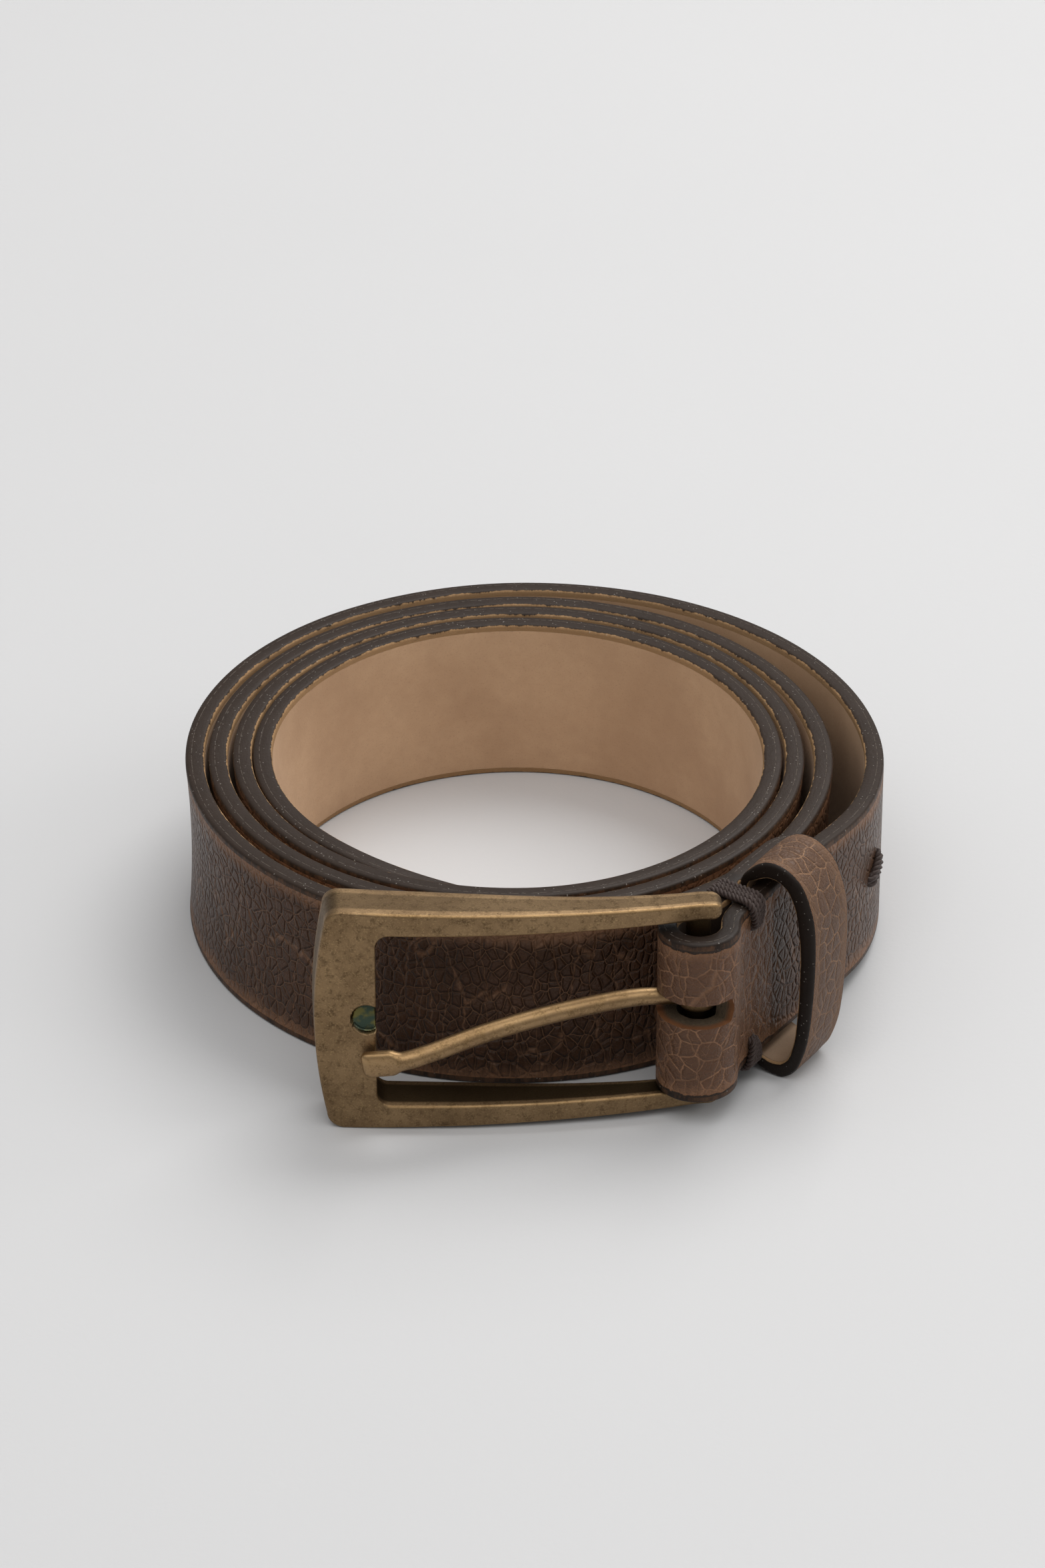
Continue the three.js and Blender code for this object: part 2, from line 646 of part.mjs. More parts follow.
function add(name, geometry, colour, roughness, metalness, parent = belt) {
  const mesh = new THREE.Mesh(geometry, material(colour, roughness, metalness));
  mesh.name = name;
  parent.add(mesh);
  return mesh;
}

const strapCuts = [prongSlot(), wrapHole(1), wrapHole(-1), ...rearStitchHoles(), ...prongHoles()];
add("strap_face", cutBy(ribbon(BOND_GAP / 2, FACE_SIDE), strapCuts), 0x553f33, 0.5, 0);
add("strap_lining", cutBy(ribbon(-LINING_SIDE, -BOND_GAP / 2), strapCuts), 0xa5896c, 0.8, 0);

const buckle = new THREE.Group();
buckle.position.set(barAxis.x, barAxis.y, 0);
// Local x runs from the bar to the end bar and local y points away from the coil.
buckle.matrixAutoUpdate = false;
const buckleWay = heading(FRAME_ANGLE);
buckle.matrix
  .makeBasis(flat(buckleWay), flat(rightOf(buckleWay)).negate(), UP)
  .setPosition(barAxis.x, barAxis.y, 0);
belt.add(buckle);
add("buckle_frame", buckleFrame(), 0x7d694b, 0.4, 1, buckle);
add("prong", prong(), 0x85714f, 0.38, 1, buckle).position.z = FRAME_MIDDLE + PRONG_LIFT;

const keeper = new THREE.Group();
const keeperFace = along(along(runStart, runRight, FACE_SIDE), runWay, KEEPER_FROM_PINCH);
keeper.matrixAutoUpdate = false;
keeper.matrix
  .makeBasis(flat(runRight), UP, flat(runWay).negate())
  .setPosition(flat(along(keeperFace, runWay, KEEPER_WIDTH)));
belt.add(keeper);
add("keeper_loop", keeperLoop(), 0x5c4434, 0.5, 0, keeper);

for (let i = 0; i < WRAP_STRANDS; i++) {
  add(`thread_wrap_top_${i + 1}`, wrapStrand(i, 1), 0x3c2d26, 0.6, 0);
  add(`thread_wrap_bottom_${i + 1}`, wrapStrand(i, -1), 0x3c2d26, 0.6, 0);
}
for (let i = 0; i < STITCH_STRANDS; i++) {
  add(`rear_stitch_${i + 1}`, rearStitch(i), 0x3c2d26, 0.6, 0);
}

// The origin is on the floor, below the middle of the belt's footprint.
belt.updateMatrixWorld(true);
const box = new THREE.Box3().setFromObject(belt, true);
const footprint = box.getCenter(new THREE.Vector3());
belt.position.set(-footprint.x, -footprint.y, -box.min.z);

export default belt;
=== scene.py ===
import json
import math
from collections import namedtuple

import bmesh
import bpy
import numpy as np
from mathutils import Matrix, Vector, noise


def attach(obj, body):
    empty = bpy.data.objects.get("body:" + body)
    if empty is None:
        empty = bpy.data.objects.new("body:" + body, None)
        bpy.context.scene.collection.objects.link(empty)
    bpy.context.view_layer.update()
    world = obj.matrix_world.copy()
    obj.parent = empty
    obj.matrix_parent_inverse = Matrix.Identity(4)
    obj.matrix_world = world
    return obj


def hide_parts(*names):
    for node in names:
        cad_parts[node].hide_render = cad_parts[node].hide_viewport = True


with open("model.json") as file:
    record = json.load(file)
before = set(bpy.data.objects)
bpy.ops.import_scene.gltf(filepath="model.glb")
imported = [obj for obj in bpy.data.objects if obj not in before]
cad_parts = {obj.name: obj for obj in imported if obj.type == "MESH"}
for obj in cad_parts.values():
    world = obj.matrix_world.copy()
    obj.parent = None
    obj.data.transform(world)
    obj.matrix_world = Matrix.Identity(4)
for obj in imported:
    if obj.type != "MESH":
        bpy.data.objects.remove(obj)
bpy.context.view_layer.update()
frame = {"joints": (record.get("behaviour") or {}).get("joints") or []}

# The belt is laid out in millimetres in the coil's own frame, then moved to the CAD model's frame
# and scaled to metres. The floor, the lights and the camera are in metres from the start.
MM = 0.001

# ---- Sizes, the same as the CAD model's ----
WIDTH = 30.0
FACE, LINING, BOND = 1.9, 1.2, 0.1
THICK = FACE + LINING + BOND
IN_SIDE = LINING + BOND / 2    # from the bond's middle to the lining's outside
OUT_SIDE = FACE + BOND / 2     # from the bond's middle to the grain side
TIP_LENGTH, TIP_BLUNT = 55.0, 1.4
HOLE_R, HOLE_FROM_TIP, HOLE_PITCH, HOLE_COUNT = 2.0, 24.0, 14.0, 3

# The coil has a station every 90 degrees: the eye's radius and the gaps, innermost first.
EYE_DIAMETER, EYE_SHAPE = 83.6, (0.995, 1.048, 0.99, 0.964)
EYE = [0.5 * EYE_DIAMETER * k for k in EYE_SHAPE]
GAPS = [(0.5, 0.9, 0.2, 0.3), (1.6, 0.2, 0.9, 0.9), (5.3, 2.0, 0.7, 2.4)]
TIP_GAP = 0.3
COIL_START, COIL_END = -10.0, 1373.0

# The bar, the prong's loop round it and the fold round both.
RUN_ANGLE, BAR_ANGLE = 58.2, -65.1
BAR_R = 2.0
LOOP_GAP, LOOP_WALL, LOOP_HALF = 0.4, 0.7, 1.4
LOOP_R = BAR_R + LOOP_GAP + LOOP_WALL
FOLD_GAP = 0.35
FOLD_R = LOOP_R + FOLD_GAP + IN_SIDE
FOLD_SAG = 0.3
FOLD_SPACE = 5.85              # from the outermost turn to the fold
STANDOFF = FOLD_SPACE + FOLD_R + OUT_SIDE - FOLD_SAG
ARC_START, ARC_END = 115.0, 360
PINCH_ANGLE, PINCH_OUT = 54.7, 3.4
PINCH_GAP, KEEPER_GAP, TONGUE_GAP = 1.0, 2.3, 0.3
RUN_LENGTH, RISE_LENGTH = 26.0, 75.0
SHOULDER, SHOULDER_LENGTH, TONGUE, UNDERLAP = 22.0, 13.0, 12.0, 50.0

FRAME_ANGLE, FRAME_LENGTH, FRAME_MID = 184.0, 61.7, 20.35
FRAME_TAPER = 1.5              # the rails are this much lower at the bar
WINDOW = 32.0
END_BAR, END_BULGE, OVERHANG = 9.9, 1.8, 3.7
STRAP_DROP = 0.75              # the fold's middle is this much under the frame's
FOLD_LIFT = FRAME_MID - STRAP_DROP - WIDTH / 2
PRONG_R, PRONG_LIFT, PRONG_OVERLAP, PRONG_DROOP = 1.55, 0.6, 2.4, 9.9
PRONG_Z = FRAME_MID + PRONG_LIFT
PRONG_REACH = FRAME_LENGTH - END_BAR + PRONG_OVERLAP
KEEPER_FROM, KEEPER_WIDTH = 4.0, 11.5
WRAP_COUNT, WRAP_PITCH, WRAP_DEPTH = 4, 0.95, 4.2
STITCH_COUNT, STITCH_AT = 2, 44.0

# The slot in the fold: its sides' heights over the strap's middle, and how far each closes in
# over the last degrees, where the slot comes to a point.
SLOT_LOW, SLOT_HIGH, SLOT_CLOSE = -0.85, 3.5, 1.7
SLOT_END, SLOT_POINT = 323.0, 7.0

# How finely the strap is cut into rows, and what the rows show.
UNDERLAP_STEP, UNDER_ROWS, ARC_ROWS, OVER_ROWS, HOLE_STEPS = 0.8, 16, 82, 14, 10
DARK_REACH = 6.2               # the fold's shade reaches this far past the pinch on both runs
CREASE_AT, CREASE_SPREAD = 172, 26   # the coil's sharpest bend, in degrees
FLOOR_GAP = 0.02
# Places in the flat map that the leather's patterns are drawn on, so that no two sides look alike.
MAP_APART, KEEPER_MAP, KEEPER_BACK = 40, 200, 60


def vec(degrees):
    a = math.radians(degrees)
    return np.array([math.cos(a), math.sin(a)])


def smooth(x, a, b):
    t = min(1.0, max(0.0, (x - a) / (b - a)))
    return t * t * (3 - 2 * t)


def lerp(a, b, t):
    return a + (b - a) * t


def spline(p0, p1, p2, p3, t):
    """The Catmull-Rom curve from p1 to p2, at share t of the way."""
    return 0.5 * (2 * p1 + (p2 - p0) * t + (2 * p0 - 5 * p1 + 4 * p2 - p3) * t * t
                  + (3 * p1 - p0 - 3 * p2 + p3) * t ** 3)


def right_of(t):
    return np.array([t[1], -t[0]])


# ---- The strap's path, seen from above ----
def station(q):
    """The radius of the coil's inner side at its station q."""
    side, out = q % 4, len(GAPS) - q // 4
    r = EYE[side]
    if out < 0:
        return r - THICK - TIP_GAP
    for g in range(out):
        r += THICK + GAPS[min(g, 2)][side]
    return r


def coil_point(degrees):
    q = math.floor(degrees / 90)
    u = degrees / 90 - q
    r0, r1, r2, r3 = (station(q + k) for k in (-1, 0, 1, 2))
    r = (r1 + u * (r2 - r0) / 2 + u * u * (r0 - 2.5 * r1 + 2 * r2 - r3 / 2)
         + u ** 3 * (3 * (r1 - r2) + r3 - r0) / 2)
    return vec(degrees) * (r + IN_SIDE)


RUN = vec(RUN_ANGLE)
RUN_R = right_of(RUN)
BAR = vec(BAR_ANGLE) * (station(3) + THICK + STANDOFF)
FOLD_C = BAR + vec(BAR_ANGLE) * FOLD_SAG
PINCH = FOLD_C + vec(PINCH_ANGLE) * (FOLD_R + OUT_SIDE + PINCH_OUT)
SPREAD = IN_SIDE + PINCH_GAP / 2
RUN_START = PINCH + RUN_R * SPREAD
RUN_END = RUN_START + RUN * RUN_LENGTH


def bezier(a, wa, b, wb, steps):
    pull = np.linalg.norm(b - a) * 0.38
    p1, p2 = a + wa * pull, b - wb * pull
    out = []
    for i in range(steps + 1):
        t = i / steps
        out.append(a * (1 - t) ** 3 + p1 * 3 * t * (1 - t) ** 2 + p2 * 3 * t * t * (1 - t) + b * t ** 3)
    return out


def stations(points):
    """The points, the normal to their right at each, and the distance along them."""
    pts = np.array(points)
    fore = np.vstack([pts[1:], pts[-1:]])
    back = np.vstack([pts[:1], pts[:-1]])
    way = fore - back
    way /= np.linalg.norm(way, axis=1)[:, None]
    s = np.concatenate([[0], np.cumsum(np.linalg.norm(np.diff(pts, axis=0), axis=1))])
    return pts, np.stack([way[:, 1], -way[:, 0]], axis=1), s


def main_path():
    start = coil_point(COIL_START)
    way = coil_point(COIL_START + 1) - start
    way /= np.linalg.norm(way)
    pts = [RUN_START + RUN * RUN_LENGTH * i / 26 for i in range(26)]
    pts += bezier(RUN_END, RUN, start, way, 40)[:-1]
    n = int((COIL_END - COIL_START) / 1.5)
    pts += [coil_point(lerp(COIL_START, COIL_END, i / n)) for i in range(n + 1)]
    return pts


MAIN_P, MAIN_N, MAIN_S = stations(main_path())
MAIN_LENGTH = MAIN_S[-1]


def main_at(s):
    p = np.array([np.interp(s, MAIN_S, MAIN_P[:, k]) for k in (0, 1)])
    n = np.array([np.interp(s, MAIN_S, MAIN_N[:, k]) for k in (0, 1)])
    return p, n / np.linalg.norm(n)


def underlap_gap(s):
    """The room between strap and underlap: wider under the keeper, closed at the tongue."""
    return (PINCH_GAP + (KEEPER_GAP - PINCH_GAP) * smooth(s, -0.5, KEEPER_FROM - 0.5)
            - (KEEPER_GAP - TONGUE_GAP) * smooth(s, KEEPER_FROM + KEEPER_WIDTH + 3, RUN_LENGTH))


def lift(s):
    return FOLD_LIFT * (1 - smooth(s, 2, RISE_LENGTH))


def tip_half(s):
    u = max(0.0, (s - (MAIN_LENGTH - TIP_LENGTH)) / TIP_LENGTH)
    return max(TIP_BLUNT, WIDTH / 2 * math.sqrt(max(0.0, 1 - u * u)))


def tongue_half(s):
    half = lerp(WIDTH, TONGUE, smooth(s, SHOULDER, SHOULDER + SHOULDER_LENGTH)) / 2
    left, r = UNDERLAP - s, TONGUE / 2
    if left >= r:
        return half
    return max(TIP_BLUNT, math.sqrt(max(0.0, r * r - (r - left) ** 2)))


# angle: degrees round the fold, or None; hole: distance along the strap from the middle of a prong
# hole, or None; s: distance from the pinch on the main run, or None.
Row = namedtuple("Row", "place normal middle half angle bow hole dark s",
                 defaults=(None, 0.0, None, False, None))


def strap_rows():
    """The strap's rows: from the tongue's end up the underlap, round the fold and on to the tip."""
    rows = []
    for s in np.arange(UNDERLAP, 0.2, -UNDERLAP_STEP):
        p, n = main_at(s)
        place = p - n * (2 * IN_SIDE + underlap_gap(s))
        rows.append(Row(place, -n, lift(s) + WIDTH / 2, tongue_half(s), dark=s < DARK_REACH))
    under = PINCH - RUN_R * SPREAD
    arc = [FOLD_C + vec(d) * FOLD_R for d in np.linspace(ARC_START, ARC_END, ARC_ROWS)]
    turn = bezier(under, -RUN, arc[0], vec(ARC_START + 90), UNDER_ROWS) + arc[1:-1]
    turn += bezier(arc[-1], vec(90), RUN_START, RUN, OVER_ROWS)[:-1]
    places, normals, _ = stations(turn)
    for p, n in zip(places, normals):
        d = p - FOLD_C
        angle = math.degrees(math.atan2(d[1], d[0])) % 360
        on_arc = abs(np.linalg.norm(d) - FOLD_R) < 0.02 and angle > 90
        rows.append(Row(p, n, FOLD_LIFT + WIDTH / 2, WIDTH / 2, angle if on_arc else None, dark=True))
    holes = [MAIN_LENGTH - HOLE_FROM_TIP - HOLE_PITCH * k for k in range(HOLE_COUNT)]
    along = [(s, None) for s in MAIN_S if all(abs(s - h) > HOLE_R + 0.3 for h in holes)]
    for h in holes:
        offsets = [-HOLE_R * math.cos(math.pi * k / HOLE_STEPS) for k in range(HOLE_STEPS + 1)]
        along += [(h + off, off) for off in offsets]
    for s, hole in sorted(along, key=lambda a: a[0]):
        p, n = main_at(s)
        bow = 0.65 * smooth(s, 60, 110) * (1 - smooth(s, MAIN_LENGTH - 90, MAIN_LENGTH - 40))
        rows.append(Row(p, n, lift(s) + WIDTH / 2, tip_half(s), None, bow, hole, s < DARK_REACH, s))
    return rows


# ---- Where the coil lies in the CAD model's frame: the bar's axis is known in both ----
HINGE = next(j for j in frame["joints"] if j["name"] == "buckle_swing")
SHIFT = np.array(HINGE["pos_m"][:2]) / MM - BAR


def to_row(co):
    """Millimetres in the coil's frame to metres in the CAD model's frame."""
    co = np.asarray(co, float).copy()
    co[:, 0] += SHIFT[0]
    co[:, 1] += SHIFT[1]
    return co * MM


# ---- Mesh helpers ----
def mesh_object(name, verts, faces, uvs=None, mats=(), slots=None, closed=True):
    """A new mesh; every shell of a closed one is turned to face outwards."""
    me = bpy.data.meshes.new(name)
    me.from_pydata([tuple(v) for v in verts], [], faces)
    me.update()
    if closed:
        bm = bmesh.new()
        bm.from_mesh(me)
        bmesh.ops.recalc_face_normals(bm, faces=bm.faces)
        bm.to_mesh(me)
        bm.free()
    for m in mats:
        me.materials.append(m)
    if slots is not None:
        me.polygons.foreach_set("material_index", np.array(slots, np.int32))
    me.polygons.foreach_set("use_smooth", np.ones(len(me.polygons), bool))
    if uvs is not None:
        layer = me.uv_layers.new(name="UVMap")
        index = np.zeros(len(me.loops), np.int32)
        me.loops.foreach_get("vertex_index", index)
        layer.data.foreach_set("uv", np.asarray(uvs, np.float32)[index].ravel())
    o = bpy.data.objects.new(name, me)
    bpy.context.scene.collection.objects.link(o)
    return o


def skin(rings, sides, closed=False, base=0):
    """Faces from each ring of vertices to the next, and from the last to the first if closed."""
    faces = []
    for i in range(rings if closed else rings - 1):
        a, b = base + i * sides, base + (i + 1) % rings * sides
        faces += [(a + m, b + m, b + (m + 1) % sides, a + (m + 1) % sides) for m in range(sides)]
    return faces


def store(o, **attributes):
    """Keep one number, or one vector, for each vertex under each name."""
    for name, values in attributes.items():
        values = np.asarray(values, np.float32)
        kind, key = ("FLOAT_VECTOR", "vector") if values.ndim == 2 else ("FLOAT", "value")
        o.data.attributes.new(name, kind, "POINT").data.foreach_set(key, values.ravel())


def give(o, body, slot, *nodes):
    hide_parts(*nodes)
    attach(o, body)


def nz(x, y=0.0, z=0.0, scale=1.0):
    """Smooth noise round 0, the same in every run."""
    return noise.noise(Vector((x * scale, y * scale, z * scale)))


# ---- Strap ----
EDGE_R = 1.15
EDGE_POWER = 0.38     # under 1, the edge is squarer than a half circle
ARC_STEPS = 11
Z_ROWS = [-13.85, -13.2, -12.0, -10.0, -7.5, -5.0, -3.2, -1.55, -0.1, 1.6, 3.05,
          4.6, 6.6, 9.0, 11.0, 12.4, 13.3, 13.85]
ROWS_UP = len(Z_ROWS)
SLOT_A, SLOT_B = 7, 10   # the two of Z_ROWS that become the sides of the slot or a hole
RING = 2 * (ROWS_UP + ARC_STEPS)
LINING_AT = ROWS_UP + ARC_STEPS


def strap_section(half, bow, wave):
    """[(height over the middle, distance from the bond, distance from the edge, side)]

    The sides are 0 the grain face, 1 the upper edge, 2 the lining and 3 the lower edge. On an edge
    the third value is the distance from the bond before the section is bowed.
    """
    k = (half - EDGE_R) / (WIDTH / 2 - EDGE_R)
    mid, reach = (OUT_SIDE - IN_SIDE) / 2, THICK / 2

    def bend(z):
        return -bow * (1 - (z / (WIDTH / 2)) ** 2) + wave

    def flat_side(heights, at, side):
        return [(z * k, at + bend(z * k), (WIDTH / 2 - EDGE_R - abs(z)) * k + 0.6, side) for z in heights]

    def edge_side(way, side):
        out = []
        for i in range(1, ARC_STEPS + 1):
            f = math.pi * i / (ARC_STEPS + 1)
            c, sn = math.cos(f), math.sin(f)
            n = mid + way * reach * math.copysign(abs(c) ** EDGE_POWER, c)
            out.append((way * (half - EDGE_R + EDGE_R * sn ** EDGE_POWER), n + bend(half), n, side))
        return out

    return (flat_side(Z_ROWS, OUT_SIDE, 0) + edge_side(1, 1)
            + flat_side(reversed(Z_ROWS), -IN_SIDE, 2) + edge_side(-1, 3))


def opening(row, run):
    """The heights of the slot's or the hole's two sides at a row, or None where there is neither."""
    if row.hole is not None:
        high = max(0.2, math.sqrt(max(0.0, HOLE_R ** 2 - row.hole ** 2)))
        return -high, high
    if row.angle is None or row.angle > SLOT_END + SLOT_POINT:
        return None
    close = SLOT_CLOSE * smooth(row.angle, SLOT_END - 1, SLOT_END + SLOT_POINT)
    return (SLOT_LOW + close + 0.08 * nz(run, 5, 0, 0.7),
            SLOT_HIGH - close + 0.12 * nz(run, 8, 0, 1.6))


def on_lining(j):
    """The place in the ring, on the lining, that lies behind place j of the grain face."""
    return LINING_AT + (ROWS_UP - 1 - j)


def strap_faces(cuts, last_row):
    """Faces and their material slots: 0 grain, 1 edge, 2 lining, 3 cut leather."""
    faces, slots = [], []
    open_rows = {i for cut in cuts for i in cut[:-1]}
    for i in range(last_row):
        a, b = i * RING, (i + 1) * RING
        for j in range(RING):
            k = (j + 1) % RING
            if i in open_rows and (SLOT_A <= j < SLOT_B or on_lining(SLOT_B) <= j < on_lining(SLOT_A)):
                continue
            faces.append((a + j, b + j, b + k, a + k))
            on_back = LINING_AT <= j < LINING_AT + ROWS_UP - 1
            slots.append(0 if j < ROWS_UP - 1 else 2 if on_back else 1)
    for i in sorted(open_rows):
        a, b = i * RING, (i + 1) * RING
        faces.append((a + SLOT_A, b + SLOT_A, b + on_lining(SLOT_A), a + on_lining(SLOT_A)))
        faces.append((a + SLOT_B, a + on_lining(SLOT_B), b + on_lining(SLOT_B), b + SLOT_B))
        slots += [3, 3]

    def close_off(i, columns, turned, slot):
        a = i * RING
        for j in columns:
            f = (a + j, a + j + 1, a + on_lining(j + 1), a + on_lining(j))
            faces.append(f[::-1] if turned else f)
            slots.append(slot)

    for i, turned in [(cut[0], True) for cut in cuts] + [(cut[-1], False) for cut in cuts]:
        close_off(i, range(SLOT_A, SLOT_B), turned, 3)
    for i, turned in ((0, False), (last_row, True)):
        close_off(i, range(ROWS_UP - 1), turned, 1)
        for start in (ROWS_UP - 1, LINING_AT + ROWS_UP - 1):
            fan = tuple(i * RING + (start + t) % RING for t in range(ARC_STEPS + 2))
            faces.append(fan[::-1] if turned else fan)
            slots.append(1)
    return faces, slots


def build_strap(mats):
    rows = strap_rows()
    verts, flat, edge, depth, crease, dark = [], [], [], [], [], []
    run, last = 0.0, rows[0].place
    cuts = []   # runs of rows that the slot or a hole passes through
    for i, row in enumerate(rows):
        p = row.place
        run += float(np.linalg.norm(p - last))
        last = p
        bent = 0.0
        if row.s is not None and row.s > RUN_LENGTH:
            polar = abs(math.degrees(math.atan2(p[1], p[0])))
            bent = math.exp(-((polar - CREASE_AT) / CREASE_SPREAD) ** 2)
        rise = 0.0 if row.s is None or row.dark else 0.12 * nz(run, 9.2, 0, 0.035)
        gap = opening(row, run)
        if gap:
            if not cuts or cuts[-1][-1] != i - 1:
                cuts.append([])
            cuts[-1].append(i)
        section = strap_section(row.half, row.bow, 0.05 * nz(run, 3.1, 0, 0.06))
        for j, (z, out, e, side) in enumerate(section):
            column = j if side == 0 else on_lining(0) - j if side == 2 else -1
            if gap and SLOT_A <= column <= SLOT_B:
                z = lerp(*gap, (column - SLOT_A) / (SLOT_B - SLOT_A))
            q = p + row.normal * out
            verts.append((q[0], q[1], max(FLOOR_GAP, row.middle + z + (rise if z > 0 else 0.0))))
            across = row.half + (OUT_SIDE - e) if side == 1 else z + MAP_APART if side == 2 else z
            flat.append((run, across, 0.0))
            edge.append(e if side in (0, 2) else 0.0)
            depth.append({0: OUT_SIDE, 2: -IN_SIDE}.get(side, e))
            crease.append(bent)
            dark.append(float(row.dark))
    faces, slots = strap_faces(cuts, len(rows) - 1)
    uv = [(f[0] / 1400, f[1] / 100 + 0.3) for f in flat]
    o = mesh_object("strap", to_row(verts), faces, uv, mats, slots)
    # dark paints shade into the fold's hollow; loose opens the grain there and paints the face lighter,
    # as painted light
    store(o, flat=flat, edge=edge, depth=depth, crease=crease, dark=dark, loose=dark)
    o.data.set_sharp_from_angle(angle=math.radians(52))
    return o


# ---- Buckle ----
BUCKLE_X = vec(FRAME_ANGLE)
BUCKLE_Y = -right_of(BUCKLE_X)


def buckle_to_coil(co):
    """Buckle coordinates: x from the bar to the end bar, y outwards from the coil, z up."""
    co = np.asarray(co, float)
    out = np.empty_like(co)
    for k in (0, 1):
        out[:, k] = BAR[k] + co[:, 0] * BUCKLE_X[k] + co[:, 1] * BUCKLE_Y[k]
    out[:, 2] = co[:, 2]
    return out


DEPTH_BAR, DEPTH_END = 2 * (BAR_R + 0.325), 8.0
CORNER, WINDOW_CORNER = 2.6, 2.2


def frame_front(x):
    half = FRAME_LENGTH / 2
    return DEPTH_BAR / 2 + 2.5 * (1 - min(1.0, ((x - half) / half) ** 2))


def frame_depth(x):
    return lerp(DEPTH_BAR, DEPTH_END, smooth(x, 0, FRAME_LENGTH * 0.8))


def rail_top(x):
    return FRAME_MID - FRAME_TAPER * (1 - min(1.0, (x + OVERHANG) / (FRAME_LENGTH - CORNER)))


def half_outline():
    """[(outside point, inside point, how full the section is)], from the bar's end to the middle."""
    inside, window = FRAME_LENGTH - END_BAR, WINDOW / 2
    pairs = []
    for t in (0.0, 10.0, 24.0, 40.0, 58.0, 76.0, 90.0):
        k = math.sin(math.radians(t))
        x = -OVERHANG + 1.7 * (1 - math.cos(math.radians(t)))
        pairs.append(((x, rail_top(x)), (x, window), lerp(0.3, 1.0, k)))
    rail_to = inside - WINDOW_CORNER
    for i in range(1, 75):
        x = lerp(-OVERHANG + 1.7, rail_to, i / 74)
        pairs.append(((x, rail_top(x)), (x, window), 1.0))
    cx = FRAME_LENGTH - END_BULGE - CORNER
    cz = rail_top(cx) - CORNER
    for i in range(1, 13):
        u = i / 12
        x, w = lerp(rail_to, cx, u), math.radians(34 * u)
        pairs.append(((x, rail_top(x)),
                      (rail_to + WINDOW_CORNER * math.sin(w), window - WINDOW_CORNER * (1 - math.cos(w))),
                      1.0))
    for i in range(1, 15):
        u = i / 14
        t, w = math.radians(90 * (1 - u)), math.radians(56 * (1 - u))
        pairs.append(((cx + CORNER * math.cos(t), cz + CORNER * math.sin(t)),
                      (inside - WINDOW_CORNER + WINDOW_CORNER * math.cos(w),
                       window - WINDOW_CORNER + WINDOW_CORNER * math.sin(w)), 1.0))
    x_end = cx + CORNER
    for i in range(1, 101):
        u = i / 100
        z = lerp(cz, 0, u)
        out = x_end + (FRAME_LENGTH - x_end) * (1 - (z / cz) ** 2)
        pairs.append(((out, z), (inside, lerp(window - WINDOW_CORNER, 0, u)), 1.0))
    return pairs


def rounded_corner(centre, a0, r, steps):
    return [(centre[0] + r * math.cos(math.radians(a0 + 90 * k / steps)),
             centre[1] + r * math.sin(math.radians(a0 + 90 * k / steps))) for k in range(steps + 1)]


def frame_section(width, depth):
    """[(place across, place behind the front, wear and painted light)], round from the outside's back
    corner.

    Over 0 the brass is rubbed and painted with a highlight; under 0 it is painted dull, as painted shade.
    """
    r = min(0.5, width * 0.3, depth * 0.3)
    front_steps = 34
    pts = [(w, d, 0.25) for w, d in rounded_corner((width - r, -depth + r), 270, r, 4)]
    # the outside faces, the rails' tops among them, are painted dull: painted shade
    pts += [(width, lerp(-depth + r, -r, k / 5), -0.33) for k in range(1, 5)]
    corners = rounded_corner((width - r, -r), 0, r, 5)
    # the outside-front corner: rubbed brass with a painted highlight line along it
    pts += [(w, d, 1.0 if 0 < i < 5 else 0.4) for i, (w, d) in enumerate(corners)]
    pts += [(lerp(width - r, r, k / front_steps), 0.0, 0.0) for k in range(1, front_steps)]
    corners = rounded_corner((r, -r), 90, r, 5)
    # the window's front corner: rubbed brass with a painted highlight
    pts += [(w, d, 0.9 if 0 < i < 5 else 0.3) for i, (w, d) in enumerate(corners)]
    # the window's inside faces: painted shade and a painted reflection of the dark strap
    pts += [(0.0, lerp(-r, -depth + r, k / 5), -0.6) for k in range(1, 5)]
    pts += [(w, d, 0.25) for w, d in rounded_corner((r, -depth + r), 180, r, 4)]
    pts += [(lerp(r, width - r, k / 6), -depth, 0.0) for k in range(1, 6)]
    return pts


NOTCH_X, NOTCH_Z, NOTCH_R, NOTCH_RIM = 1.5, 0.4, 2.3, 2.65


def notch(x, z, d):
    """How far a place sinks into the notch in the window's side of the end bar, and its tint."""
    r = math.hypot(x - FRAME_LENGTH + END_BAR - NOTCH_X, (z - NOTCH_Z) * 0.93)
    if d <= -3.2 or x <= FRAME_LENGTH - END_BAR - 0.1:
        return 0.0, 0.0
    pit = 1 - smooth(r, NOTCH_R, NOTCH_RIM)
    return pit * (1.5 - 0.5 * (r / 2.5) ** 2) * (1 if d > -1.0 else 0.4), pit * (1 if r < 2.45 else 0.4)


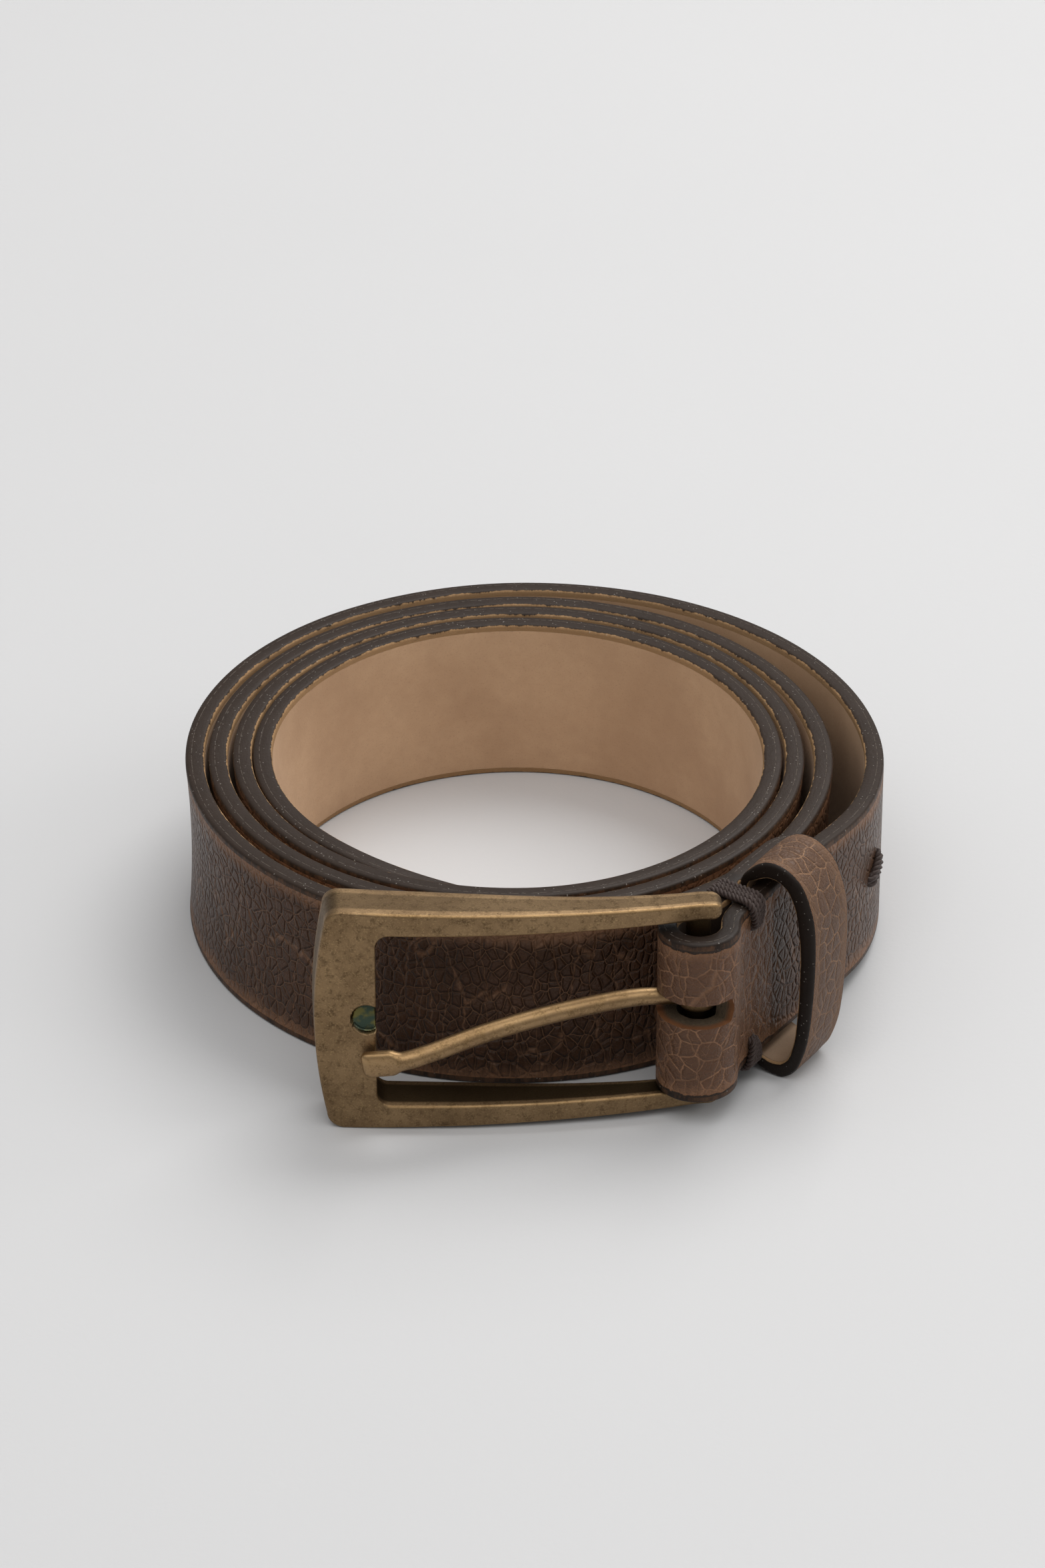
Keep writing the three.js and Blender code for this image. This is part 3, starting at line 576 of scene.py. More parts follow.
def build_frame(mat):
    upper = half_outline()
    lower = [((o[0], -o[1]), (i[0], -i[1]), k) for o, i, k in reversed(upper[:-1])]
    verts, wear, pits = [], [], []
    rings = upper + lower
    for o, i, k in rings:
        o, i = np.array(o), np.array(i)
        span = float(np.linalg.norm(o - i))
        way = (o - i) / span
        x_mid = (o[0] + i[0]) / 2
        depth = frame_depth(x_mid)
        sect = frame_section(span, depth)
        count = len(sect)
        for w, d, e in sect:
            w2 = span / 2 + (w - span / 2) * k
            xz = i + way * w2
            front = frame_front(xz[0])
            d2 = -frame_depth(xz[0]) / 2 + (d / depth * frame_depth(xz[0]) + frame_depth(xz[0]) / 2) * k
            y = front + d2
            sunk, tint = notch(xz[0], xz[1], d) if k == 1.0 else (0.0, 0.0)
            y -= sunk
            pits.append(tint)
            cast = 0.05 * nz(xz[0], xz[1], y, 0.18) + 0.015 * nz(xz[0], xz[1], y, 0.9)
            verts.append((xz[0], y + cast, xz[1] + FRAME_MID))
            # rubbed brass and painted highlights are weaker on the end bar
            wear.append(e * lerp(1.0, 0.3, smooth(x_mid, 50, 54)) if e > 0 else e)
    faces = skin(len(rings), count)
    faces.append(tuple(range(count)))
    faces.append(tuple(reversed(range((len(rings) - 1) * count, len(rings) * count))))
    # the bar, between the rails; its brass is painted dark, as painted shade inside the fold
    base = len(verts)
    sides, levels = 28, 12
    into_rail = 1.2
    for level in range(levels + 1):
        z = lerp(-WINDOW / 2 - into_rail, WINDOW / 2 + into_rail, level / levels)
        for m in range(sides):
            a = 2 * math.pi * m / sides
            verts.append((BAR_R * math.cos(a), BAR_R * math.sin(a), z + FRAME_MID))
            wear.append(-0.6)
            pits.append(0.0)
    faces += skin(levels + 1, sides, base=base)
    faces.append(tuple(reversed(range(base, base + sides))))
    faces.append(tuple(range(base + levels * sides, base + (levels + 1) * sides)))
    uv = [(v[0] / 80 + 0.1, v[2] / 80) for v in verts]
    o = mesh_object("buckle_frame_cast", to_row(buckle_to_coil(verts)), faces, uv, [mat])
    store(o, wear=wear, pit=pits)
    o.data.set_sharp_from_angle(angle=math.radians(60))
    return o


def open_curve(points, per):
    pts = np.array(points, float)
    pts = np.vstack([2 * pts[0] - pts[1], pts, 2 * pts[-1] - pts[-2]])
    out = [spline(*pts[i:i + 4], k / per) for i in range(len(pts) - 3) for k in range(per)]
    return np.array(out + [pts[-2]])


def closed_curve(points, per):
    n = len(points)
    pts = np.array(points, float)
    return np.array([spline(*(pts[(i + k) % n] for k in (-1, 0, 1, 2)), step / per)
                     for i in range(n) for step in range(per)])


def build_prong(mat):
    reach = PRONG_REACH
    droop = math.tan(math.radians(PRONG_DROOP))
    keys = [(LOOP_R - LOOP_WALL / 2 - 0.2, 0)]
    keys += [(reach * share, y) for share, y in ((0.18, -0.1), (0.34, -0.1), (0.5, 0.8), (0.66, 2.7),
                                                 (0.78, 4.8), (0.88, 6.0), (1.0, 4.9))]
    line = open_curve([(x, y, -max(0.0, x - 10) * droop) for x, y in keys], 14)
    n = len(line)
    verts, wear = [], []
    sides = 28
    for i, p in enumerate(line):
        u = i / (n - 1)
        way = line[min(i + 1, n - 1)] - line[max(i - 1, 0)]
        way /= np.linalg.norm(way)
        out = np.array([-way[1], way[0], 0.0])
        out /= np.linalg.norm(out)
        up = np.cross(way, out)
        flat_end = smooth(u, 0.86, 0.9)
        size = lerp(0.9, 1.0, smooth(u, 0, 0.3))
        end = math.sqrt(max(0.0, 1 - max(0.0, (u - 0.975) / 0.025) ** 2)) * 0.6 + 0.4
        thick = PRONG_R * size * lerp(1.0, 0.7, flat_end) * end
        wide = PRONG_R * size * lerp(1.0, 1.42, flat_end) * (0.5 + 0.5 * end)
        power = lerp(1.0, 0.62, flat_end)
        for m in range(sides):
            a = 2 * math.pi * m / sides
            c, s = math.cos(a), math.sin(a)
            c = math.copysign(abs(c) ** power, c)
            s = math.copysign(abs(s) ** power, s)
            q = p + out * thick * c - up * wide * s
            q = q + out * 0.04 * nz(q[0], q[1], q[2], 0.35)
            verts.append(tuple(q))
            # painted highlight on the prong's upper side and painted shade under it, over a little rubbed
            # brass
            upward = 0.5 * c - 0.87 * s
            wear.append(0.25 + 0.6 * max(0.0, upward) - 0.55 * max(0.0, -upward))
    faces = skin(n, sides)
    faces.append(tuple(reversed(range(sides))))
    faces.append(tuple(range((n - 1) * sides, n * sides)))
    base, around, section = len(verts), 48, 14
    mid_r = (LOOP_R + BAR_R + LOOP_GAP) / 2
    for i in range(around):
        a = 2 * math.pi * i / around
        for m in range(section):
            f = 2 * math.pi * m / section
            c, s = math.cos(f), math.sin(f)
            r = mid_r + LOOP_WALL / 2 * math.copysign(abs(c) ** 0.6, c)
            verts.append((r * math.cos(a), r * math.sin(a), LOOP_HALF * math.copysign(abs(s) ** 0.6, s)))
            wear.append(0.2)
    faces += skin(around, section, True, base)
    co = np.array(verts)
    co[:, 2] += PRONG_Z
    uv = [(v[0] / 80 + 0.1, v[2] / 80 + 0.5) for v in verts]
    o = mesh_object("prong_cast", to_row(buckle_to_coil(co)), faces, uv, [mat])
    store(o, wear=wear)
    o.data.set_sharp_from_angle(angle=math.radians(60))
    return o


# ---- Keeper: (distance from the strap's face, height) round the band, from its back's middle ----
KEEPER_OUT = [(-5.1, 19), (-5.1, 9), (-5.0, 5), (-4.3, 2.8), (-2.6, 1.7), (-1, 1.1), (0.8, 0.3),
              (2.8, 0.02), (4.5, 0.6), (6.2, 2.6), (7.6, 6.6), (8.3, 11), (8.9, 18.3), (9.05, 25),
              (8.7, 30.5), (7.7, 34.2), (6.3, 37.2), (4.2, 39.1), (2.2, 39.9), (0, 39.9), (-1.8, 39.1),
              (-3.2, 37.9), (-4.6, 36.2), (-5.05, 34), (-5.1, 28)]
KEEPER_IN = [(-3.6, 19), (-3.6, 9.5), (-3.6, 6), (-3.4, 4.4), (-2.2, 3.7), (-0.9, 3.3), (0.4, 2.8),
             (1.9, 2.6), (3.4, 3.0), (4.6, 4.4), (5.5, 7.4), (5.95, 11.6), (6.3, 18.6), (6.3, 25),
             (5.7, 30.4), (5.0, 33.2), (4.0, 35.4), (2.8, 36.6), (1.5, 37.1), (0, 37.1), (-1.4, 36.5),
             (-2.4, 35.9), (-3.3, 35.3), (-3.6, 33.6), (-3.6, 28)]


def keeper_section():
    """[(share of the wall's thickness out, place across, slot, distance from the edge)]"""
    w, r = KEEPER_WIDTH, 0.55

    def corner(degrees, at, way):
        return [(1 - 0.2 * (1 - math.cos(a)), at + way * r * math.sin(a), 1, 0.0)
                for a in map(math.radians, degrees)]

    sect = [(1.0, x, 0, min(x, w - x)) for x in (lerp(r, w - r, k / 12) for k in range(13))]
    sect += corner((30, 60, 90), w - r, 1)
    sect += [(q, w + 0.04, 1, 0.0) for q in (0.62, 0.4, 0.2)] + [(0.06, w - 0.12, 1, 0.0)]
    sect += [(0.0, x, 2, min(x, w - x)) for x in (lerp(w - 0.4, 0.4, k / 8) for k in range(9))]
    sect += [(0.06, 0.12, 1, 0.0)] + [(q, -0.04, 1, 0.0) for q in (0.2, 0.4, 0.62)]
    return sect + corner((90, 60, 30), r, -1)


def build_keeper(mats):
    outer, inner = closed_curve(KEEPER_OUT, 9), closed_curve(KEEPER_IN, 9)
    n = len(outer)
    seg = np.linalg.norm(np.roll(outer, -1, axis=0) - outer, axis=1)
    at_s = np.concatenate([[0], np.cumsum(seg)[:-1]])
    sect = keeper_section()
    m = len(sect)
    face0 = RUN_START + RUN_R * OUT_SIDE + RUN * KEEPER_FROM
    verts, flat, edge, depth = [], [], [], []
    for i in range(n):
        wob = 0.07 * nz(at_s[i], 1.7, 0, 0.09)
        lean = 0.075 * math.sin(at_s[i] * 0.07)
        d = outer[i] - inner[i]
        d /= np.linalg.norm(d)
        for share, x, slot_no, e in sect:
            nn, z = inner[i] + (outer[i] - inner[i]) * share
            belly = 0.10 * math.sin(math.pi * x / KEEPER_WIDTH) if slot_no == 0 else 0.0
            nn, z = nn + d[0] * (belly + wob * (1 if nn > 0 else 0)), z + d[1] * belly
            q = face0 + RUN_R * nn + RUN * (x + lean)
            verts.append((q[0], q[1], max(FLOOR_GAP, z)))
            across = x + KEEPER_MAP + (share * 2.6 if slot_no == 1 else 0)
            flat.append((across, at_s[i] + (KEEPER_BACK if slot_no == 2 else 0), 0))
            edge.append(e if slot_no != 1 else 0.0)
            depth.append(share * THICK - IN_SIDE)
    kinds = [part[2] for part in sect]
    slots = [1 if 1 in (kinds[j - 1], kinds[j]) else kinds[j - 1] for j in range(1, m)] + [1]
    uv = [(f[0] / 400, f[1] / 200) for f in flat]
    o = mesh_object("keeper_band", to_row(verts), skin(n, m, True), uv, mats, slots * n)
    # dark 0.6 paints shade on the keeper's lining and edges; loose 1 opens its grain and paints it
    # lighter, as painted light
    store(o, flat=flat, edge=edge, depth=depth, dark=[0.6] * len(verts), loose=[1.0] * len(verts))
    return o


# ---- Thread: each strand is three plies twisted round its line ----
def strand(name, line, mat, ply=0.34, pitch=2.3, phase=0.0):
    """A closed line of thread: three plies twisted round it, one turn to each pitch."""
    pts = np.array(line, float)
    pts = np.vstack([pts, pts[:1]])
    seg = np.linalg.norm(np.diff(pts, axis=0), axis=1)
    s = np.concatenate([[0], np.cumsum(seg)])
    n = max(24, int(s[-1] / 0.16))
    at = np.linspace(0, s[-1], n, endpoint=False)
    p = np.stack([np.interp(at, s, pts[:, k]) for k in range(3)], axis=1)
    for _ in range(3):
        p = (np.roll(p, 1, axis=0) + p * 2 + np.roll(p, -1, axis=0)) / 4
    way = np.roll(p, -1, axis=0) - np.roll(p, 1, axis=0)
    way /= np.linalg.norm(way, axis=1)[:, None]
    ref = np.array([RUN[0], RUN[1], 0.0])
    u = np.cross(way, ref)
    u /= np.linalg.norm(u, axis=1)[:, None]
    v = np.cross(way, u)
    turns = max(1, round(s[-1] / pitch))
    verts, faces = [], []
    sides = 8
    for k in range(3):
        base = len(verts)
        ang = 2 * math.pi * (k / 3 + turns * at / s[-1]) + phase
        centre = p + (u * np.cos(ang)[:, None] + v * np.sin(ang)[:, None]) * ply * 0.92
        for i in range(n):
            rough = 1 + 0.12 * nz(at[i], k * 3.3 + phase, 0, 3.0)
            for m in range(sides):
                f = 2 * math.pi * m / sides
                verts.append(tuple(centre[i] + (u[i] * math.cos(f) + v[i] * math.sin(f)) * ply * rough))
        faces += skin(n, sides, True, base)
    uv = [(v0[0] * 0.1, v0[2] * 0.1) for v0 in verts]
    return mesh_object(name, to_row(verts), faces, uv, [mat])


def wrap_line(k, edge):
    """A strand's closed line round the strap and the underlap at one edge; edge is 1 or -1."""
    a_front = (k - (WRAP_COUNT - 1) / 2) * 0.34
    a_top = (k - (WRAP_COUNT - 1) / 2) * WRAP_PITCH
    depth = 2 * THICK + underlap_gap(0.0)
    edge_z = FOLD_LIFT + WIDTH / 2 + edge * WIDTH / 2
    hole = edge_z - edge * WRAP_DEPTH
    top = edge_z + edge * (0.72 + 0.10 * (k % 2))
    keys = [
        (a_front, -1.0, hole), (a_front, 0.35, hole + edge * 0.1),
        (a_front * 1.3, 0.72, hole + edge * 1.0), (lerp(a_front, a_top, 0.7), 0.78, edge_z - edge * 1.6),
        (a_top, 0.55, edge_z - edge * 0.1), (a_top, -0.35, top), (a_top + 0.15, -1.6, top + edge * 0.06),
        (a_top + 0.3, -depth / 2, top), (a_top + 0.45, 1.6 - depth, top + edge * 0.04),
        (a_top + 0.5, 0.3 - depth, top - edge * 0.05), (a_top + 0.5, -0.65 - depth, edge_z - edge * 0.4),
        (a_top + 0.4, -0.75 - depth, edge_z - edge * 2.0), (a_front, -0.6 - depth, hole + edge * 0.4),
        (a_front, 0.5 - depth, hole), (a_front, -depth / 2, hole),
    ]
    origin = RUN_START + RUN_R * OUT_SIDE
    line = []
    for a, n, z in closed_curve(keys, 8):
        q = origin + RUN * a + RUN_R * n
        line.append((q[0], q[1], z))
    return line


def stitch_line(k):
    """A strand's closed line through the strap and the tongue, slanted across the strap."""
    p, n = main_at(STITCH_AT)
    depth = 2 * THICK + underlap_gap(STITCH_AT)
    middle, half, tilt = lift(STITCH_AT) + WIDTH / 2 + 0.9, 3.1, math.radians(22)
    t = np.array([-n[1], n[0]])
    shift = (k - (STITCH_COUNT - 1) / 2) * 1.1
    front = [(-half, -1.4), (-half, -0.3), (-2.6, 0.4), (-1.4, 0.65), (0, 0.7), (1.4, 0.65), (2.6, 0.4),
             (half, -0.3), (half, -1.4)]
    back = [(half, 0.9 - depth), (2.6, -0.4 - depth), (0, -0.6 - depth), (-2.6, -0.4 - depth),
            (-half, 0.9 - depth)]
    keys = []
    for w, d in front + back:
        along = w * math.cos(tilt) + shift * math.sin(tilt)
        q = p + n * (OUT_SIDE + d) + t * along
        keys.append((q[0], q[1], middle + w * math.sin(tilt) - shift * math.cos(tilt)))
    return closed_curve(keys, 8)


# ---- Materials ----
class Shader:
    def __init__(self, name):
        self.mat = bpy.data.materials.new(name)
        self.mat.use_nodes = True
        self.tree = self.mat.node_tree
        self.tree.nodes.clear()
        self.out = self.tree.nodes.new("ShaderNodeOutputMaterial")
        self.bsdf = self.tree.nodes.new("ShaderNodeBsdfPrincipled")
        self.tree.links.new(self.bsdf.outputs[0], self.out.inputs[0])

    def put(self, socket, value):
        if isinstance(value, bpy.types.NodeSocket):
            self.tree.links.new(value, socket)
        else:
            socket.default_value = value

    def node(self, kind, inputs=None, out=0, **props):
        n = self.tree.nodes.new(kind)
        for k, v in props.items():
            setattr(n, k, v)
        for k, v in (inputs or {}).items():
            self.put(n.inputs[k], v)
        return n.outputs[out]

    def millimetres(self):
        return self.scaled(self.node("ShaderNodeTexCoord", out="Object"), 1000.0, 1000.0, 1000.0)

    def attr(self, name, out="Fac"):
        n = self.tree.nodes.new("ShaderNodeAttribute")
        n.attribute_name = name
        return n.outputs[out]

    def math(self, op, a, b, clamp=False):
        return self.node("ShaderNodeMath", {0: a, 1: b}, operation=op, use_clamp=clamp)

    def mul(self, a, b):
        return self.math("MULTIPLY", a, b)

    def add(self, a, b, clamp=False):
        return self.math("ADD", a, b, clamp)

    def less(self, a, b, clamp=False):
        return self.math("SUBTRACT", a, b, clamp)

    def swing(self, noise, amount):
        """Noise round 0, in both directions."""
        return self.mul(self.less(noise, 0.5), amount)

    def ramp(self, value, a, b, lo=0.0, hi=1.0):
        """Smooth step from lo to hi, as value goes from a to b."""
        ends = {"Value": value, "From Min": a, "From Max": b, "To Min": lo, "To Max": hi}
        return self.node("ShaderNodeMapRange", ends, interpolation_type="SMOOTHSTEP")

    def mix(self, fac, a, b, blend="MIX"):
        n = self.tree.nodes.new("ShaderNodeMix")
        n.data_type = "RGBA"
        n.blend_type = blend
        self.put(n.inputs[0], fac)
        self.put(n.inputs[6], a)
        self.put(n.inputs[7], b)
        return n.outputs[2]

    def scaled(self, vector, x, y, z=1.0):
        return self.node("ShaderNodeVectorMath", {0: vector, 1: (x, y, z)}, operation="MULTIPLY")

    def warped(self, vector, scale, amount):
        wind = {"Vector": vector, "Scale": scale, "Detail": 2.0}
        off = self.node("ShaderNodeTexNoise", wind, out="Color")
        off = self.node("ShaderNodeVectorMath", {0: off, 1: (0.5, 0.5, 0.5)}, operation="SUBTRACT")
        off = self.scaled(off, amount, amount, 0.0)
        return self.node("ShaderNodeVectorMath", {0: vector, 1: off}, operation="ADD")

    def noise(self, vector, scale, detail=3.0, rough=0.55):
        ins = {"Vector": vector, "Scale": scale, "Detail": detail, "Roughness": rough}
        return self.node("ShaderNodeTexNoise", ins)

    def cells(self, vector, scale, feature="F1"):
        return self.node("ShaderNodeTexVoronoi", {"Vector": vector, "Scale": scale},
                         feature=feature, voronoi_dimensions="2D")

    def crackle(self, vector, scale):
        """Distance to the nearest cell border."""
        return self.cells(vector, scale, "DISTANCE_TO_EDGE")

    def bump(self, height, strength, distance):
        return self.node("ShaderNodeBump", {"Height": height, "Strength": strength, "Distance": distance})

    def finish(self, color, rough, normal, metallic=0.0, specular=0.5, sheen=0.0):
        b = self.bsdf.inputs
        for name, value in (("Base Color", color), ("Roughness", rough), ("Normal", normal),
                            ("Metallic", metallic), ("Specular IOR Level", specular),
                            ("Sheen Weight", sheen)):
            self.put(b[name], value)
        return self.mat


def rgb(r, g, b):
    """An sRGB colour, 0 to 255, as the linear colour a shader takes."""
    def lin(c):
        c /= 255
        return c / 12.92 if c <= 0.04045 else ((c + 0.055) / 1.055) ** 2.4
    return (lin(r), lin(g), lin(b), 1.0)


def times(c, k):
    return (c[0] * k, c[1] * k, c[2] * k, 1.0)


def grain_leather(name, base, fold, line, margin, gloss, long_lines=0.0, cover=0.5):
    """Creased leather. Where loose is 1 the cells are fine and open, and the colour is painted lighter,
    as painted light on the lit fold and keeper.
    """
    m = Shader(name)
    flat = m.attr("flat", "Vector")
    edge = m.attr("edge")
    crease = m.attr("crease")
    loose = m.attr("loose")
    w = m.warped(m.scaled(flat, 1.15, 0.9), 0.28, 0.9)
    w = m.warped(w, 1.7, 0.28)
    big = m.ramp(loose, 0.4, 0.6, m.crackle(w, 0.52), m.crackle(w, 0.38))
    small = m.crackle(w, 1.15)
    thin = m.noise(flat, 0.5, 3.0)
    big_line = m.ramp(big, 0.012, 0.065, 1.0, 0.0)
    small_line = m.mul(m.ramp(small, 0.0, 0.07, 1.0, 0.0), m.ramp(thin, 0.42, 0.62))
    small_line = m.mul(small_line, loose)
    broken = m.ramp(m.noise(flat, 0.22, 2.0), 0.3, 0.6, 0.35, 1.0)
    ink = m.math("MAXIMUM", big_line, m.mul(small_line, 0.7))
    ink = m.mul(ink, broken)
    ink = m.mul(ink, m.ramp(loose, 0.4, 0.6, 0.48, 0.85))
    # long creases that run across the strap
    crosswise = m.crackle(m.scaled(m.warped(flat, 0.16, 4.0), 0.26, 0.045), 1.0)
    long_line = m.mul(m.ramp(crosswise, 0.0, 0.05, 1.0, 0.0), long_lines)
    tone = m.noise(flat, 0.07, 5.0, 0.6)
    speck = m.noise(flat, 3.2, 2.0)
    body = m.mix(m.ramp(tone, 0.3, 0.7), times(base, 0.74), times(base, 1.2))
    body = m.mix(m.ramp(speck, 0.35, 0.75, 0.0, 0.3), body, times(base, 0.55))
    # painted light: the fold's and the keeper's face are painted lighter, as if lit
    body = m.mix(m.mul(loose, 0.5), body, fold)
    # painted shade in the gaps between the pebbles, strong on the coil and weak on the fold
    gap = m.mul(m.ramp(big, 0.02, 0.15, 1.0, 0.0), m.ramp(loose, 0.4, 0.6, 0.75, 0.12))
    body = m.mix(gap, body, times(base, 0.4))
    body = m.mix(m.math("MAXIMUM", ink, m.mul(long_line, 0.45)), body, line)
    # the margins are rubbed lighter, in fine streaks across the edge
    streak = m.noise(m.scaled(flat, 1.6, 0.14), 1.0, 3.0)
    wide = m.noise(m.scaled(flat, 0.09, 0.02), 1.0, 2.0)
    reach = m.add(edge, m.swing(streak, 3.2))
    reach = m.add(reach, m.swing(wide, -4.0))
    rub = m.ramp(reach, 0.4, 3.8, 0.85, 0.0)
    body = m.mix(rub, body, margin)
    # paint runs over the corner onto the face with a ragged border
    rag = m.noise(flat, 1.1, 3.0, 0.65)
    over = m.add(edge, m.swing(rag, -1.1))
    over = m.less(over, m.mul(loose, cover))
    paint = m.ramp(over, 0.42, 0.56, 1.0, 0.0)
    rim = m.ramp(over, 0.5, 0.95, 1.0, 0.0)
    body = m.mix(m.mul(rim, 0.5), body, rgb(122, 84, 56))
    body = m.mix(paint, body, rgb(47, 36, 29))
    # height: pebbles, hairlines, long wrinkles on the sharp bend
    pebble = m.ramp(big, 0.0, 0.24)
    pebble = m.mul(pebble, m.ramp(edge, 0.6, 3.5, 0.35, 1.0))
    fine = m.ramp(small, 0.0, 0.2)
    wrinkle = m.noise(m.scaled(m.warped(flat, 0.2, 2.5), 0.55, 0.07), 1.0, 3.0, 0.6)
    wrinkle = m.mul(wrinkle, m.add(m.mul(crease, 2.6), 0.35))
    pebble = m.mul(pebble, m.ramp(loose, 0.4, 0.6, 1.35, 0.5))
    h = m.add(pebble, m.mul(fine, m.ramp(loose, 0.4, 0.6, 0.14, 0.22)))
    h = m.add(h, wrinkle)
    h = m.less(h, m.mul(long_line, 0.5))
    h = m.add(h, m.mul(m.noise(flat, 2.0, 2.0), 0.12))
    h = m.less(h, m.mul(streak, m.mul(rub, 0.35)))
    h = m.add(h, m.mul(paint, 0.35))
    normal = m.bump(h, 1.0, 0.00030)
    rough = m.add(gloss, m.mul(m.noise(flat, 0.9, 3.0), 0.14))
    rough = m.add(rough, m.mul(rub, 0.16))
    rough = m.add(rough, m.mul(ink, 0.15), clamp=True)
    return m.finish(body, rough, normal, specular=0.17)


def edge_paint(name, seam=True, dim=1.0, fibre=0.12):
    """Dark paint on a cut edge, worn to the lining's fibre; the seam is the glued joint."""
    m = Shader(name)
    flat = m.attr("flat", "Vector")
    depth = m.attr("depth")
    cloud = m.noise(flat, 0.12, 4.0, 0.6)
    fine = m.noise(flat, 1.8, 3.0, 0.6)
    body = m.mix(cloud, times(rgb(36, 27, 21), dim), times(rgb(53, 41, 33), dim))
    # painted shade: edges in the fold's hollow and on the keeper are darker where dark is set
    body = m.mix(m.mul(m.attr("dark"), 0.45), body, rgb(22, 16, 13))
    # worn raw fibre along the lining's corner
    rag = m.noise(m.scaled(flat, 1.0, 0.2), 0.9, 4.0, 0.7)
    rag2 = m.noise(m.scaled(flat, 0.16, 0.02), 1.0, 2.0)
    inner = m.add(depth, m.swing(rag, -0.75))
    inner = m.add(inner, m.swing(rag2, -0.5))
    raw = m.ramp(inner, -IN_SIDE + fibre, -IN_SIDE + fibre + 0.12, 1.0, 0.0)
    shade = m.mix(m.noise(flat, 2.2, 2.0), rgb(122, 90, 60), rgb(184, 150, 110))
    outer = m.less(depth, m.swing(rag, -0.6))
    brown = m.ramp(outer, OUT_SIDE - 0.10, OUT_SIDE + 0.06, 0.0, 0.6)
    body = m.mix(raw, body, shade)
    dust = m.cells(flat, 0.75)
    pick = m.ramp(m.noise(flat, 0.35, 1.0), 0.52, 0.6)
    grit = m.mul(m.ramp(dust, 0.05, 0.085, 1.0, 0.0), pick)
    h = m.add(m.mul(fine, 0.4), m.mul(m.noise(m.scaled(flat, 0.5, 1.2), 1.0, 3.0), 0.8))
    h = m.less(h, m.mul(raw, 0.5))
    if seam:
        body = m.mix(brown, body, rgb(96, 68, 48))
        dash = m.ramp(m.noise(m.scaled(flat, 0.9, 0.0), 1.0, 2.0), 0.45, 0.54)
        off = m.math("ABSOLUTE", m.less(depth, 0.85), 0.0)
        line = m.mul(m.ramp(off, 0.03, 0.12, 1.0, 0.0), dash)
        body = m.mix(m.mul(line, 0.4), body, rgb(118, 108, 98))
        h = m.less(h, m.mul(line, 0.9))
    body = m.mix(m.mul(grit, 0.5), body, rgb(170, 164, 156))
    rough = m.add(m.mul(fine, 0.18), 0.38)
    rough = m.add(rough, m.mul(raw, 0.3), clamp=True)
    return m.finish(body, rough, m.bump(h, 0.6, 0.00013), specular=0.17)


def lining_leather(name):
    m = Shader(name)
    flat = m.attr("flat", "Vector")
    edge = m.attr("edge")
    dark = m.attr("dark")
    cloud = m.noise(flat, 0.045, 4.0, 0.55)
    mid = m.noise(flat, 0.5, 4.0, 0.65)
    body = m.mix(m.ramp(cloud, 0.3, 0.7), rgb(184, 150, 118), rgb(204, 170, 136))
    body = m.mix(m.mul(mid, 0.35), body, rgb(156, 122, 92))
    pores = m.ramp(m.noise(flat, 3.0, 2.0), 0.55, 0.75, 0.0, 0.25)
    body = m.mix(pores, body, rgb(132, 102, 76))
    rag = m.noise(flat, 0.9, 3.0, 0.65)
    over = m.add(edge, m.swing(rag, -0.8))
    rim = m.ramp(over, 0.2, 0.75, 0.75, 0.0)
    body = m.mix(rim, body, rgb(92, 62, 42))
    # painted shade: the lining turns dark in the fold's hollow and inside the keeper
    body = m.mix(m.mul(dark, 0.95), body, rgb(44, 32, 24))
    h = m.add(m.noise(flat, 1.6, 4.0, 0.6), m.mul(m.noise(flat, 5.0, 2.0), 0.4))
    return m.finish(body, 0.68, m.bump(h, 0.35, 0.00009), specular=0.3, sheen=0.05)


def raw_leather(name):
    """The cut walls of the slot: orange-brown at the outside, grey fibre further in."""
    m = Shader(name)
    flat = m.attr("flat", "Vector")
    depth = m.attr("depth")
    mid = m.noise(flat, 1.6, 4.0, 0.7)
    at = m.add(depth, m.swing(mid, 1.2))
    body = m.mix(m.ramp(mid, 0.3, 0.7), rgb(66, 54, 42), rgb(140, 122, 98))
    body = m.mix(m.ramp(at, OUT_SIDE - 1.6, OUT_SIDE - 0.5), body, rgb(142, 92, 56))
    return m.finish(body, 0.75, m.bump(mid, 1.0, 0.0004), specular=0.25)


